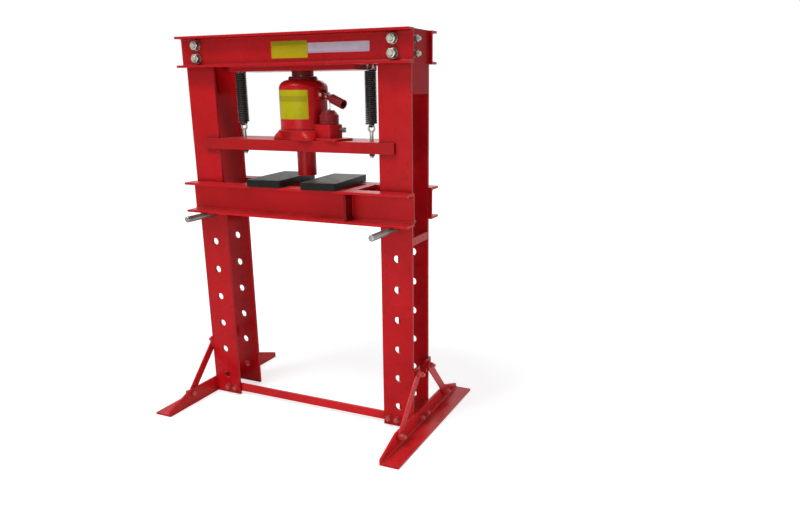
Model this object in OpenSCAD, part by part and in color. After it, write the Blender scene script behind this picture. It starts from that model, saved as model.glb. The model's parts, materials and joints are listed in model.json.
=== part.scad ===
// Hydraulic workshop press: an H-shaped frame with two perforated posts, a height-adjustable bed on pins,
// and a sprung ram beam that a bottle jack drives down from under the top beam.
// X is the width, Y the depth with the front at -Y, and Z is up. The origin is on the floor, in the middle
// of the frame.

/* [Frame] */
// Height of the press from the floor
frame_h = 1740; // [1620:10:1900]
// Width over the outer edges of the two posts
frame_w = 1130; // [1060:10:1240]
// Depth over the front and rear plates of a post
post_d = 182; // [170:2:200]
// Width of a post plate
post_w = 150; // [140:2:170]
// Thickness of a post plate
post_t = 12; // [10:1:15]
// Height of the post plates' lower ends above the floor
post_lift = 5; // [0:1:10]

/* [Pin holes] */
// Diameter of the bed pins
pin_d = 28; // [24:1:32]
// Play between a bed pin and its holes, on the diameter
pin_play = 6; // [2:0.5:8]
// Spacing of the pin holes up the posts
hole_pitch = 140; // [120:5:160]
// Least height of a pin hole's centre above the floor
hole_min_z = 100; // [95:5:140]
// Length of a bed pin
pin_len = 490; // [440:10:540]
// How far the left pin stands forward of the middle
pin_shift_left = 30; // [0:5:60]
// How far the right pin stands forward of the middle
pin_shift_right = 80; // [0:5:100]

/* [Top beam] */
// Height of the top beam's channels
top_h = 132; // [120:2:150]
// Flange width of the top beam's channels
top_b = 51; // [46:1:60]
// Web thickness of the top beam's channels
top_web = 8; // [6:0.5:10]
// Flange thickness of the top beam's channels
top_flange = 10; // [8:0.5:12]
// How far the top beam and the bed stand out past the posts at each end
beam_overhang = 13; // [8:1:25]
// Thickness of the thrust plate
thrust_t = 20; // [16:1:25]

/* [Bed] */
// Height of the bed's channels
bed_h = 140; // [120:5:160]
// Flange width of the bed's channels
bed_b = 76; // [60:1:80]
// Web thickness of the bed's channels
bed_web = 9; // [7:0.5:10]
// Flange thickness of the bed's channels
bed_flange = 11; // [9:0.5:13]
// Sliding gap between the bed or the ram beam's guides and a post
slide_gap = 1; // [0.5:0.25:2]
// Distance from a cross piece's outer edge to the post
bed_end_gap = 115; // [90:5:130]
// Width of an arbor plate
arbor_w = 168; // [150:2:180]
// Length of an arbor plate, front to rear
arbor_len = 360; // [350:10:400]
// Thickness of an arbor plate
arbor_t = 32; // [25:1:40]
// Distance of an arbor plate's centre from the middle
arbor_x = 141; // [138:1:150]
// Angle at which the arbor plates lie across the bed
plates_turn = 6; // [0:1:8]

/* [Ram beam] */
// Distance from the top of the frame down to the ram beam's underside
ram_drop = 490; // [485:5:510]
// Height of the ram beam's side bars
ram_h = 48; // [44:1:60]
// Thickness of the ram beam's side bars
ram_bar_t = 12; // [10:1:16]
// Thickness of the deck plate that the jack stands on
deck_t = 16; // [12:1:20]
// Clear height between the arbor plates and the ram beam
daylight = 122; // [120:1:150]
// Diameter of the plunger
plunger_d = 85; // [70:1:88]
// Length of the plunger below the ram beam
plunger_out = 113; // [80:1:116]

/* [Jack] */
// Angle by which the jack stands turned, its pump towards the front
jack_turn = 15; // [15:1:18]
// Outside diameter of the jack's oil tank
tank_d = 216; // [200:2:220]
// Wall thickness of the oil tank
tank_wall = 5; // [4:0.5:6]
// Diameter of the jack's ram
ram_rod_d = 76; // [60:1:80]
// Bore of the jack's pressure cylinder
cylinder_bore = 100; // [92:1:102]
// Wall thickness of the pressure cylinder
cylinder_wall = 15; // [12:1:18]
// Diameter of the saddle on the extension screw
saddle_d = 96; // [80:1:100]
// Radial clearance of a running fit
run_fit = 0.05; // [0.02:0.01:0.1]
// Diameter of the pump piston
pump_d = 16; // [12:1:16]
// Outside diameter of the pump barrel
pump_barrel_d = 84; // [64:1:86]
// Angle at which the lever socket hangs at rest
lever_rest = 20; // [16:1:28]
// Outside diameter of the lever socket
socket_d = 40; // [34:1:44]

/* [Springs] */
// Distance from a return spring's centre to the post
spring_gap = 80; // [70:1:85]
// Outside diameter of a return spring
spring_od = 52; // [46:1:54]
// Diameter of the spring wire
wire_d = 7; // [5:0.5:7]
// Number of turns in a return spring
spring_turns = 20; // [14:1:22]

/* [Feet] */
// Length of a foot, front to rear
foot_len = 880; // [760:20:960]
// Height of a foot's upright leg
foot_h = 80; // [76:1:90]
// Width of a foot's flat leg
foot_w = 90; // [70:2:110]
// Thickness of a foot's legs
foot_t = 10; // [8:1:12]
// Width of a diagonal brace
brace_w = 38; // [36:1:50]
// Thickness of a diagonal brace
brace_t = 8; // [6:1:10]
// Height of the tie bar
tie_h = 40; // [36:1:44]

/* [Hidden] */
$fn = 48;

// Finishes
red = [0.72, 0.13, 0.15];
dark_red = [0.48, 0.09, 0.10];
zinc = [0.62, 0.62, 0.59];
steel = [0.70, 0.71, 0.72];
black = [0.17, 0.17, 0.16];
rubber = [0.08, 0.08, 0.08];

// Posts
post_x = frame_w / 2 - post_w / 2;
post_in = frame_w / 2 - post_w;
spring_x = post_in - spring_gap;
face_y = post_d / 2;
inner_y = face_y - post_t;
batten_t = 12;
end_plate_h = 250;
mid_batten_h = 35;
mid_batten_drop = 854.5;
clip_leg = 40;
clip_t = 6;
clip_len = 150;
clip_drop = 10;
clip_bolt_y = inner_y - 19;

// Fasteners: thread, width across flats, head, nut, washer diameter, washer thickness and shank length
m24 = [24, 36, 15, 21, 44, 4, 55];
m16 = [16, 24, 10, 14.5, 30, 3, 46];
m16_eye_nut = [16, 24, 10, 15, 39, 3, 0];
hole_over = 2;
thread_fit = 0.1;
// Length by which a cutting body runs past each face that it cuts
cut = 1;

// Top beam: its channels stand back to back on the posts' faces
beam_len = frame_w + 2 * beam_overhang;
top_z = frame_h - top_h;
beam_bolt_z = [frame_h - 38, frame_h - 93.5];
end_bolt_z = [frame_h - 39, frame_h - 95];
thrust_z = top_z - thrust_t;
thrust_over = 9;
thrust_w = post_d + 2 * thrust_over;
thrust_clear = 20;
thrust_len = 2 * (spring_x - thrust_clear);
seat_depth = 3;
root_r = 8;

// Ram beam
ram_z = frame_h - ram_drop;
ram_top = ram_z + ram_h;
guide_play = 1;
guide_gap = slide_gap + guide_play;
ram_bar_y = face_y + guide_gap;
ram_len = 2 * post_x;
deck_clear = 10;
deck_len = 2 * (post_in - deck_clear);
strap_w = 50;
strap_t = 12;
collar_d = 120;
collar_t = 16;
plunger_edge = 3;
plunger_z = ram_z - plunger_out;

// Bed: it rests on the pins, which lie in the bottoms of their holes
rest_gap = 0.3;
hole_d = pin_d + pin_play;
arbor_z = ram_z - daylight - arbor_t;
bed_z = arbor_z - bed_h;
pin_z = bed_z - rest_gap - pin_d / 2;
pin_hole_z = pin_z - rest_gap + pin_play / 2;
hole_count = floor((pin_hole_z - hole_min_z) / hole_pitch) + 1;
bed_web_y = face_y + slide_gap;
bed_root_r = 10;
cross_x = post_in - bed_end_gap;
rib_inset = 20;
rib_x = cross_x - rib_inset;
rib_t = 12;
rib_len = bed_b - bed_web - 8;
cross_w = 44;
cross_t = 12;
cross_h = 110;
arbor_edge = 5;
pin_edge = 3;

// Feet, braces and tie bar
foot_bolt_y = 30;
foot_bolt_z = 40;
foot_end_h = 28;
foot_slope = 150;
lug = 60;
lug_t = foot_t;
lug_y = face_y - 26;
brace_in = 3;
brace_reach = 203;
brace_top = [lug_y - brace_in, 272];
brace_foot = [lug_y + brace_reach, 56];
brace_end = 20;
brace_run = brace_foot - brace_top;
brace_len = norm(brace_run);
brace_angle = atan2(brace_run[1], brace_run[0]);
tie_t = 12;
tie_z = 20;
tie_len = 2 * post_x + 40;
tie_bolt_x = [post_x - 50, post_x - 5];

// Return springs and their eyes
coil_r = (spring_od - wire_d) / 2;
eye_r = 14;
eye_wire = 8;
eye_rod = 16;
spring_foot = ram_top + 54;
spring_head = thrust_z + 12;
arch_h = 21;
coil_z0 = spring_foot + wire_d / 2 + arch_h;
coil_z1 = spring_head - wire_d / 2 - arch_h;
lower_eye_z = spring_foot + wire_d + eye_wire / 2 - eye_r;
upper_eye_z = spring_head - wire_d - rest_gap - eye_wire / 2 + eye_r;
hanger_w = 40;
hanger_t = 10;
hanger_z = top_z + 20;
eye_rod_up = hanger_z + hanger_t + 30 - upper_eye_z - eye_r;
eye_rod_down = lower_eye_z - eye_r - ram_z + 26;
ring_steps = 12;
wire_sides = 6;
coil_steps = spring_turns * ring_steps;
coil_rise = (coil_z1 - coil_z0) / coil_steps;
arch_steps = 9;
arch_sweep = 150;

// Jack heights are counted from the deck
jack_z = ram_top;
seam = 0.2;
base_h = 42;
base_r = 118;
base_foot_t = 8;
base_x = 128;
base_y = 100;
base_corner = 40;
flange_x = 245;
flange_y = 62;
flange_t = 10;
flange_corner = 20;
block_h = 68;
block_corner = 12;
tank_h = 175;
shoulder_h = 37;
filler_d = 12;
filler_z = 200;
neck_r = 56;
cylinder_z = 30;
cylinder_h = 208;
cylinder_od = cylinder_bore + 2 * cylinder_wall;
cap_z = cylinder_z + cylinder_h;
cap_t = 30;
cap_lip_t = 14;
cap_lip_r = 64;
wiper_r = 8;
wiper_h = 8;
wiper_z = cap_z + cap_t - wiper_h - 2;
piston_h = 40;
saddle_t = 22;
saddle_z = thrust_z + seat_depth - saddle_t - jack_z;
rod_bore_z = 110;
screw_d = 50;
ram_foot_z = cylinder_z + 1;
seal_up = 12;
seal_h = 10;
seal_t = 6;

// Pump and lever
pump_x = 155;
pump_z = 36;
pump_spigot_d = 40;
pump_cone_z = 108;
pump_top = 127;
lever_arm = 25;
lever_swing = 50;
lever_far = max(lever_rest, lever_swing - lever_rest);
arm_mean = lever_arm * (cos(lever_far) + 1) / 2;
fulcrum_x = pump_x - arm_mean;
fulcrum_z = 192;
fulcrum_pin_d = 10;
piston_pin_d = 9;
slot_side = lever_arm * (1 - cos(lever_far)) / 2 + 0.6;
slot_rise = 0.5;
piston_head_t = 16;
piston_head_w = 20;
piston_head_h = 26;
piston_head_low = 14;
cheek_gap = 0.5;
cheek_t = 8;
cheek_r = 10;
cheek_in = piston_head_t / 2 + cheek_gap;
cheek_out = cheek_in + cheek_t;
socket_u = [50, 121];
socket_floor = 8;
socket_wall = 5;
lug_gap = 0.4;
fulcrum_lug_t = 8;
fulcrum_lug_h = 40;
fulcrum_lug_back = fulcrum_x - tank_d / 2 + 25;
piston_pin_x = fulcrum_x + lever_arm * cos(lever_rest);
piston_pin_z = fulcrum_z - lever_arm * sin(lever_rest);
valve_d = 12;
valve_head_d = 22;
valve_head_t = 22;
valve_y = 30;
valve_z = 44;
valve_len = 52;
valve_tip = 4;
valve_slot = 5;
valve_slot_deep = 6;
passage_d = 6;
passage_z = 16;
ball_d = 9;
block_x = [tank_d / 2 - 24, pump_x + pump_barrel_d / 2];
jack_bolt = [12, 18, 8];
jack_bolt_at = [for (x = [-90, 90], y = [-50, 50]) [x, y]];
jack_bolt_in = 22;

// Steel sections ---------------------------------------------------------------------------------

// Rolled channel section in the XY plane: back on x = 0, flanges towards +x, height along y from 0
module channel_section(h, b, web, flange, root) {
    square([web, h]);
    square([b, flange]);
    translate([0, h - flange])
        square([b, flange]);
    for (flip = [0, 1])
        translate([web, flip == 0 ? flange : h - flange])
            mirror([0, flip, 0])
                difference() {
                    square(root);
                    translate([root, root])
                        circle(r = root);
                }
}

// Channel lying along X, centred, its back on y = -back and its flanges towards the front
module beam_channel(len, h, b, web, flange, root, back) {
    translate([len / 2, -back, 0])
        rotate([90, 0, -90])
            linear_extrude(height = len)
                channel_section(h, b, web, flange, root);
}

// Flat bar with round ends between two hole centres that lie len apart along X
module link_outline(len, w, hole) {
    difference() {
        union() {
            translate([0, -w / 2])
                square([len, w]);
            circle(d = w);
            translate([len, 0])
                circle(d = w);
        }
        circle(d = hole);
        translate([len, 0])
            circle(d = hole);
    }
}

// Fasteners --------------------------------------------------------------------------------------

// Hexagon prism along +Z with its corners turned off at both ends
module hex_block(flats, h) {
    corner = flats / cos(30) / 2;
    edge = corner - flats / 2 * 0.96;
    intersection() {
        cylinder(r = corner, h = h, $fn = 6);
        rotate_extrude()
            polygon([
                [0, 0], [corner - edge, 0], [corner, edge * 0.6],
                [corner, h - edge * 0.6], [corner - edge, h], [0, h]
            ]);
    }
}

// Bolt along +Z: the head stands below z = 0 and the shank above it
module hex_bolt(size) {
    translate([0, 0, -size[2]])
        hex_block(size[1], size[2]);
    cylinder(d = size[0], h = size[6] - 1.5);
    translate([0, 0, size[6] - 1.5])
        cylinder(d1 = size[0], d2 = size[0] - 3, h = 1.5);
}

module hex_nut(size) {
    difference() {
        hex_block(size[1], size[3]);
        translate([0, 0, -1])
            cylinder(d = size[0] + thread_fit, h = size[3] + 2 * cut);
    }
}

module flat_washer(size) {
    difference() {
        cylinder(d = size[4], h = size[5]);
        translate([0, 0, -1])
            cylinder(d = size[0] + 1, h = size[5] + 2 * cut);
    }
}

// Nut with a washer face, standing on z = 0
module flange_nut(size) {
    difference() {
        union() {
            cylinder(d = size[4], h = size[5]);
            translate([0, 0, size[5]])
                hex_block(size[1], size[3]);
        }
        translate([0, 0, -1])
            cylinder(d = size[0] + thread_fit, h = size[3] + size[5] + 2 * cut);
    }
}

// Places its children at every top beam bolt, with +Z pointing out of the posts and z = 0 on the plates'
// inner faces
module at_beam_bolts() {
    for (side = [-1, 1], turn = [0, 180], z = beam_bolt_z)
        rotate([0, 0, turn])
            translate([side * post_x, -inner_y, z])
                rotate([90, 0, 0])
                    children();
}

// Places its children at every bolt of the end plates, feet, braces and tie bar, with +Z pointing out and
// z = 0 under the bolt's head. $grip is the thickness that the bolt clamps.
module at_frame_bolts() {
    for (side = [0, 180]) {
        rotate([0, 0, side])
            for (z = end_bolt_z)
                translate([frame_w / 2 - batten_t - clip_t, (side == 0 ? -1 : 1) * clip_bolt_y, z])
                    rotate([0, 90, 0]) {
                        $grip = batten_t + clip_t;
                        children();
                    }
        rotate([0, 0, side])
            for (y = [-foot_bolt_y, foot_bolt_y])
                translate([frame_w / 2 - batten_t, y, foot_bolt_z])
                    rotate([0, 90, 0]) {
                        $grip = batten_t + foot_t;
                        children();
                    }
        rotate([0, 0, side])
            for (front = [-1, 1], at = [brace_top, brace_foot])
                translate([frame_w / 2, front * at[0], at[1]])
                    rotate([0, 90, 0]) {
                        $grip = lug_t + brace_t;
                        children();
                    }
    }
    for (side = [-1, 1], x = tie_bolt_x)
        translate([side * x, -inner_y + tie_t, foot_bolt_z])
            rotate([90, 0, 0]) {
                $grip = tie_t + post_t;
                children();
            }
}

module beam_bolts() color(zinc)
    at_beam_bolts()
        translate([0, 0, -m24[5]])
            hex_bolt(m24);

module beam_nuts() color(zinc)
    at_beam_bolts()
        translate([0, 0, post_t + top_web + m24[5]])
            hex_nut(m24);

module beam_washers() color(zinc)
    at_beam_bolts() {
        translate([0, 0, -m24[5]])
            flat_washer(m24);
        translate([0, 0, post_t + top_web])
            flat_washer(m24);
    }

module frame_bolts() color(zinc)
    at_frame_bolts()
        hex_bolt(m16);

module frame_nuts() color(zinc)
    at_frame_bolts()
        translate([0, 0, $grip + m16[5]])
            hex_nut(m16);

module frame_washers() color(zinc)
    at_frame_bolts()
        translate([0, 0, $grip])
            flat_washer(m16);

// Posts ------------------------------------------------------------------------------------------

// One post plate, standing on the side (-1 left, 1 right) and face (-1 front, 1 rear) named
module post_plate(side, face) {
    color(red)
        translate([side * post_x, face > 0 ? face_y : -inner_y, 0])
            rotate([90, 0, 0])
                linear_extrude(height = post_t)
                    difference() {
                        translate([-post_w / 2, post_lift])
                            square([post_w, frame_h - post_lift]);
                        for (k = [0 : hole_count - 1])
                            translate([0, pin_hole_z - k * hole_pitch])
                                circle(d = hole_d);
                        for (z = beam_bolt_z)
                            translate([0, z])
                                circle(d = m24[0] + hole_over);
                        if (face < 0)
                            for (x = tie_bolt_x)
                                translate([side * (x - post_x), foot_bolt_z])
                                    circle(d = m16[0] + hole_over);
                    }
}

module post_left_front() post_plate(-1, -1);
module post_left_rear() post_plate(-1, 1);
module post_right_front() post_plate(1, -1);
module post_right_rear() post_plate(1, 1);

// Plate between the outer edges of a post's plates, from z0 up, with bolt holes at [y, z]
module batten(z0, h, holes = []) {
    translate([frame_w / 2 - batten_t, 0, 0])
        rotate([90, 0, 90])
            linear_extrude(height = batten_t)
                difference() {
                    translate([-inner_y, z0])
                        square([2 * inner_y, h]);
                    for (at = holes)
                        translate(at)
                            circle(d = m16[0] + hole_over);
                }
}

// Mirrors its children to both sides of the press
module both_sides() {
    children();
    mirror([1, 0, 0])
        children();
}

module end_plates() color(red)
    both_sides()
        batten(frame_h - end_plate_h, end_plate_h, [for (z = end_bolt_z) [-clip_bolt_y, z]]);

// Angle clip in the front corner of a post's head, which the end plate is bolted to
module end_clips() color(red)
    both_sides()
        translate([frame_w / 2 - batten_t, -inner_y, frame_h - clip_drop - clip_len])
            difference() {
                union() {
                    translate([-clip_t, 0, 0])
                        cube([clip_t, clip_leg, clip_len]);
                    translate([-clip_leg, 0, 0])
                        cube([clip_leg, clip_t, clip_len]);
                }
                for (z = end_bolt_z)
                    translate([-clip_t - cut, inner_y - clip_bolt_y, z - frame_h + clip_drop + clip_len])
                        rotate([0, 90, 0])
                            cylinder(d = m16[0] + hole_over, h = clip_t + 2 * cut);
            }

module mid_battens() color(red)
    both_sides()
        batten(frame_h - mid_batten_drop - mid_batten_h / 2, mid_batten_h);

module base_battens() color(red)
    both_sides()
        batten(post_lift, foot_h - post_lift, [for (y = [-foot_bolt_y, foot_bolt_y]) [y, foot_bolt_z]]);

// Lugs on the posts' outer edges, which the braces are bolted to
module brace_lugs() color(red)
    for (side = [0, 180], front = [-1, 1])
        rotate([0, 0, side])
            translate([frame_w / 2, front * lug_y, brace_top[1]])
                rotate([90, 0, 90])
                    linear_extrude(height = lug_t)
                        difference() {
                            square(lug, center = true);
                            translate([front * (brace_top[0] - lug_y), 0])
                                circle(d = m16[0] + hole_over);
                        }

// Top beam ---------------------------------------------------------------------------------------

module top_channel() {
    color(red)
        difference() {
            translate([0, 0, top_z])
                beam_channel(beam_len, top_h, top_b, top_web, top_flange, root_r, face_y);
            for (side = [-1, 1], z = beam_bolt_z)
                translate([side * post_x, -face_y + cut, z])
                    rotate([90, 0, 0])
                        cylinder(d = m24[0] + hole_over, h = top_web + 2 * cut);
        }
}

module top_channel_front() top_channel();
module top_channel_rear()
    rotate([0, 0, 180])
        top_channel();

// Plate that spans the two channels and takes the jack's thrust, with a round seat for the saddle
module thrust_plate() color(red)
    difference() {
        translate([-thrust_len / 2, -thrust_w / 2, thrust_z])
            cube([thrust_len, thrust_w, thrust_t]);
        translate([0, 0, thrust_z - cut])
            cylinder(d = saddle_d + 4, h = seat_depth + cut);
    }

module spring_hangers() color(dark_red)
    both_sides()
        difference() {
            translate([spring_x - hanger_w / 2, -face_y, hanger_z])
                cube([hanger_w, post_d, hanger_t]);
            translate([spring_x, 0, hanger_z - cut])
                cylinder(d = eye_rod + 1, h = hanger_t + 2 * cut);
        }

// Feet and braces --------------------------------------------------------------------------------

// Angle iron lying front to rear, its flat leg pointing outwards and its upright leg against the post
module foot() {
    color(red)
        difference() {
            union() {
                translate([frame_w / 2, -foot_len / 2, 0])
                    cube([foot_w, foot_len, foot_t]);
                translate([frame_w / 2, 0, 0])
                    rotate([90, 0, 90])
                        linear_extrude(height = foot_t)
                            polygon([
                                [-foot_len / 2, 0], [foot_len / 2, 0],
                                [foot_len / 2, foot_end_h], [foot_len / 2 - foot_slope, foot_h],
                                [-foot_len / 2 + foot_slope, foot_h], [-foot_len / 2, foot_end_h]
                            ]);
                translate([frame_w / 2 + foot_t, foot_len / 2, foot_t])
                    rotate([90, 0, 0])
                        linear_extrude(height = foot_len)
                            difference() {
                                square(root_r);
                                translate([root_r, root_r])
                                    circle(r = root_r);
                            }
            }
            for (y = [-brace_foot[0], brace_foot[0]])
                translate([frame_w / 2 - cut, y, brace_foot[1]])
                    rotate([0, 90, 0])
                        cylinder(d = m16[0] + hole_over, h = foot_t + 2 * cut);
            for (y = [-foot_bolt_y, foot_bolt_y])
                translate([frame_w / 2 - cut, y, foot_bolt_z])
                    rotate([0, 90, 0])
                        cylinder(d = m16[0] + hole_over, h = foot_t + 2 * cut);
        }
}

module foot_left()
    mirror([1, 0, 0])
        foot();

module foot_right() foot();

module braces() color(red)
    for (side = [0, 180], front = [0, 1])
        rotate([0, 0, side])
            mirror([0, front, 0])
                translate([frame_w / 2 + lug_t, brace_top[0], brace_top[1]])
                    rotate([90, 0, 90])
                        rotate([0, 0, brace_angle])
                            linear_extrude(height = brace_t)
                                link_outline(brace_len, brace_w, m16[0] + hole_over);

module tie_bar() color(red)
    difference() {
        translate([-tie_len / 2, -inner_y, tie_z])
            cube([tie_len, tie_t, tie_h]);
        for (side = [-1, 1], x = tie_bolt_x)
            translate([side * x, -inner_y - cut, foot_bolt_z])
                rotate([-90, 0, 0])
                    cylinder(d = m16[0] + hole_over, h = tie_t + 2 * cut);
    }

// Return springs ---------------------------------------------------------------------------------

// Eye with its ring at the origin, facing front and rear, and its rod pointing down
module eye(rod_len) {
    rotate([90, 0, 0])
        rotate_extrude()
            translate([eye_r, 0])
                circle(d = eye_wire, $fn = 24);
    translate([0, 0, -eye_r - rod_len])
        cylinder(d = eye_rod, h = rod_len);
}

module upper_eyes() color(zinc)
    both_sides()
        translate([spring_x, 0, upper_eye_z])
            rotate([0, 180, 0])
                eye(eye_rod_up);

module upper_eye_nuts() color(zinc)
    both_sides()
        translate([spring_x, 0, hanger_z + hanger_t])
            flange_nut(m16_eye_nut);

module lower_eyes() color(zinc)
    both_sides()
        translate([spring_x, 0, lower_eye_z])
            eye(eye_rod_down);

module lower_eye_nuts() color(black)
    both_sides()
        translate([spring_x, 0, ram_z])
            rotate([180, 0, 0])
                flange_nut(m16_eye_nut);

// The spring's wire runs from one end arch down the coil to the other. Each station holds a point of the
// wire's centre line, its direction and the direction away from the arch's or coil's own centre.
function arch_station(end, a) = [
    [0, coil_r * cos(a), (end > 0 ? coil_z1 : coil_z0) + end * arch_h * sin(a)],
    [0, -coil_r * sin(a), arch_h * cos(a)] / norm([coil_r * sin(a), arch_h * cos(a)]),
    [0, cos(a), end * sin(a)]
];

function coil_station(k) = let (a = 90 + k * 360 / ring_steps) [
    [coil_r * cos(a), coil_r * sin(a), coil_z0 + k * coil_rise],
    [-sin(a), cos(a), 0],
    [cos(a), sin(a), 0]
];

function spring_stations() = concat(
    [for (i = [arch_steps : -1 : 1])
        let (s = arch_station(-1, i * arch_sweep / arch_steps))
            [s[0], [0, -s[1][1], s[1][2]], s[2]]],
    [for (k = [0 : coil_steps]) coil_station(k)],
    [for (i = [1 : arch_steps])
        arch_station(1, i * arch_sweep / arch_steps)]
);

module spring() {
    stations = spring_stations();
    n = len(stations);
    points = [
        for (s = stations, j = [0 : wire_sides - 1])
            let (a = j * 360 / wire_sides, side = cross(s[1], s[2]))
                s[0] + wire_d / 2 * (cos(a) * s[2] + sin(a) * side)
    ];
    faces = concat(
        [[for (j = [0 : wire_sides - 1]) j]],
        [for (i = [0 : n - 2], j = [0 : wire_sides - 1])
            let (k = (j + 1) % wire_sides)
                [i * wire_sides + j, (i + 1) * wire_sides + j, (i + 1) * wire_sides + k, i * wire_sides + k]],
        [[for (j = [wire_sides - 1 : -1 : 0]) (n - 1) * wire_sides + j]]
    );
    color(black)
        polyhedron(points = points, faces = faces, convexity = 20);
}

module spring_left()
    translate([-spring_x, 0, 0])
        spring();

module spring_right()
    translate([spring_x, 0, 0])
        spring();

// Ram beam ---------------------------------------------------------------------------------------

// Side bar that also guides the beam on the posts' faces
module ram_bar_front() color(red)
    translate([-ram_len / 2, -ram_bar_y - ram_bar_t, ram_z])
        cube([ram_len, ram_bar_t, ram_h]);

module ram_bar_rear()
    rotate([0, 0, 180])
        ram_bar_front();

module ram_deck() color(red)
    difference() {
        translate([-deck_len / 2, -ram_bar_y, ram_top - deck_t])
            cube([deck_len, 2 * ram_bar_y, deck_t]);
        for (side = [-1, 1])
            translate([side * spring_x, 0, ram_top - deck_t - cut])
                cylinder(d = eye_rod + hole_over, h = deck_t + 2 * cut);
        on_jack()
            for (at = jack_bolt_at)
                translate([at[0], at[1], -deck_t - cut])
                    cylinder(d = jack_bolt[0] + hole_over, h = deck_t + 2 * cut);
    }

module ram_straps() color(red)
    both_sides()
        difference() {
            translate([spring_x - strap_w / 2, -ram_bar_y, ram_z])
                cube([strap_w, 2 * ram_bar_y, strap_t]);
            translate([spring_x, 0, ram_z - cut])
                cylinder(d = eye_rod + hole_over, h = strap_t + 2 * cut);
        }

// Pressing nose under the deck, with a welding collar and a chamfered working end
module plunger() color(red)
    rotate_extrude()
        polygon([
            [0, plunger_z],
            [plunger_d / 2 - plunger_edge, plunger_z], [plunger_d / 2, plunger_z + plunger_edge],
            [plunger_d / 2, ram_top - deck_t - collar_t], [collar_d / 2, ram_top - deck_t - collar_t],
            [collar_d / 2, ram_top - deck_t], [0, ram_top - deck_t]
        ]);

// Jack -------------------------------------------------------------------------------------------

// Places its children on the deck, turned with the jack: +X points to the pump
module on_jack()
    translate([0, 0, jack_z])
        rotate([0, 0, -jack_turn])
            children();

// Plan of a tongue from x0 to x1 along X, half wide to each side, with rounded outer corners
module tongue_plan(x0, x1, half, r) {
    translate([x0, -half])
        square([x1 - r - x0, 2 * half]);
    translate([x1 - r, r - half])
        square([r, 2 * (half - r)]);
    for (y = [r - half, half - r])
        translate([x1 - r, y])
            circle(r = r);
}

// Base casting: a flared foot under the tank, a flange and the pump block. Cut in it are the cylinder's seat,
// the pump's well, the valve's bore, the oil passages and the tapped holes
module jack_base() color(red)
    on_jack()
        difference() {
            union() {
                hull() {
                    linear_extrude(height = base_foot_t)
                        for (x = [-1, 1], y = [-1, 1])
                            translate([x * (base_x - base_corner), y * (base_y - base_corner)])
                                circle(r = base_corner, $fn = 32);
                    translate([0, 0, base_h - 2])
                        cylinder(r = base_r, h = 2, $fn = 64);
                }
                linear_extrude(height = flange_t)
                    tongue_plan(0, flange_x, flange_y, flange_corner);
                difference() {
                    linear_extrude(height = block_h)
                        tongue_plan(block_x[0], block_x[1], pump_barrel_d / 2, block_corner);
                    translate([0, 0, base_h])
                        cylinder(d = tank_d + 2 * seam, h = block_h);
                }
            }
            translate([0, 0, cylinder_z])
                cylinder(d = cylinder_od + thread_fit, h = base_h);
            translate([pump_x, 0, pump_z])
                cylinder(d = pump_spigot_d, h = block_h);
            translate([pump_x, 0, passage_z])
                cylinder(d = ball_d + 1, h = pump_z);
            translate([0, 0, passage_z + passage_d])
                cylinder(d = ball_d + 1, h = base_h);
            translate([0, 0, passage_z + passage_d / 2])
                rotate([0, 90, 0])
                    cylinder(d = passage_d, h = pump_x);
            translate([block_x[1] - valve_len, valve_y, valve_z])
                rotate([0, 90, 0])
                    cylinder(r = valve_d / 2 + run_fit, h = valve_len + cut);
            for (at = jack_bolt_at)
                translate([at[0], at[1], -1])
                    cylinder(d = jack_bolt[0] + thread_fit, h = jack_bolt_in + 4);
        }

// Oil tank: a tube whose shoulder curves in to the neck
module jack_tank() {
    r = tank_d / 2;
    z0 = base_h;
    z1 = base_h + tank_h;
    turn = [for (a = [0 : 10 : 90]) a];
    color(red)
        on_jack()
            difference() {
                rotate_extrude($fn = 96)
                    polygon(concat(
                        [[r - tank_wall, z0], [r, z0]],
                        [for (a = turn) [neck_r + 6 + (r - neck_r - 6) * cos(a), z1 + shoulder_h * sin(a)]],
                        [[neck_r + seam, z1 + shoulder_h]],
                        [for (i = [len(turn) - 1 : -1 : 0])
                            let (a = turn[i])
                                [neck_r + seam + (r - tank_wall - neck_r - seam) * cos(a),
                                    z1 + (shoulder_h - tank_wall) * sin(a)]]
                    ));
                translate([0, r - 2 * tank_wall, filler_z])
                    rotate([-90, 0, 0])
                        cylinder(d = filler_d, h = 3 * tank_wall);
            }
}

// Rubber plug in the tank's rear wall
module filler_plug() color(rubber)
    on_jack()
        translate([0, tank_d / 2 - tank_wall, filler_z])
            rotate([-90, 0, 0]) {
                cylinder(d = filler_d, h = tank_wall + cut);
                translate([0, 0, tank_wall + 0.6])
                    cylinder(d1 = filler_d + 8, d2 = filler_d + 2, h = 5);
            }

module jack_cylinder() color(steel)
    on_jack()
        translate([0, 0, cylinder_z])
            difference() {
                cylinder(d = cylinder_od, h = cylinder_h);
                translate([0, 0, -1])
                    cylinder(r = cylinder_bore / 2 + run_fit, h = cylinder_h + 2 * cut);
            }

// Cap that closes the tank and the cylinder and guides the ram, with a groove for the wiper
module jack_cap() color(dark_red)
    on_jack()
        difference() {
            union() {
                translate([0, 0, cap_z])
                    cylinder(r = neck_r, h = cap_t);
                translate([0, 0, cap_z + cap_t - cap_lip_t])
                    cylinder(r1 = cap_lip_r, r2 = cap_lip_r - 4, h = cap_lip_t);
            }
            translate([0, 0, cap_z - cut])
                cylinder(r = ram_rod_d / 2 + run_fit, h = cap_t + 2 * cut);
            translate([0, 0, wiper_z])
                cylinder(r = ram_rod_d / 2 + wiper_r, h = wiper_h);
        }

module wiper_ring() color(rubber)
    on_jack()
        translate([0, 0, wiper_z])
            difference() {
                cylinder(r = ram_rod_d / 2 + wiper_r, h = wiper_h);
                translate([0, 0, -1])
                    cylinder(r = ram_rod_d / 2 + run_fit, h = wiper_h + 2 * cut);
            }

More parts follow.
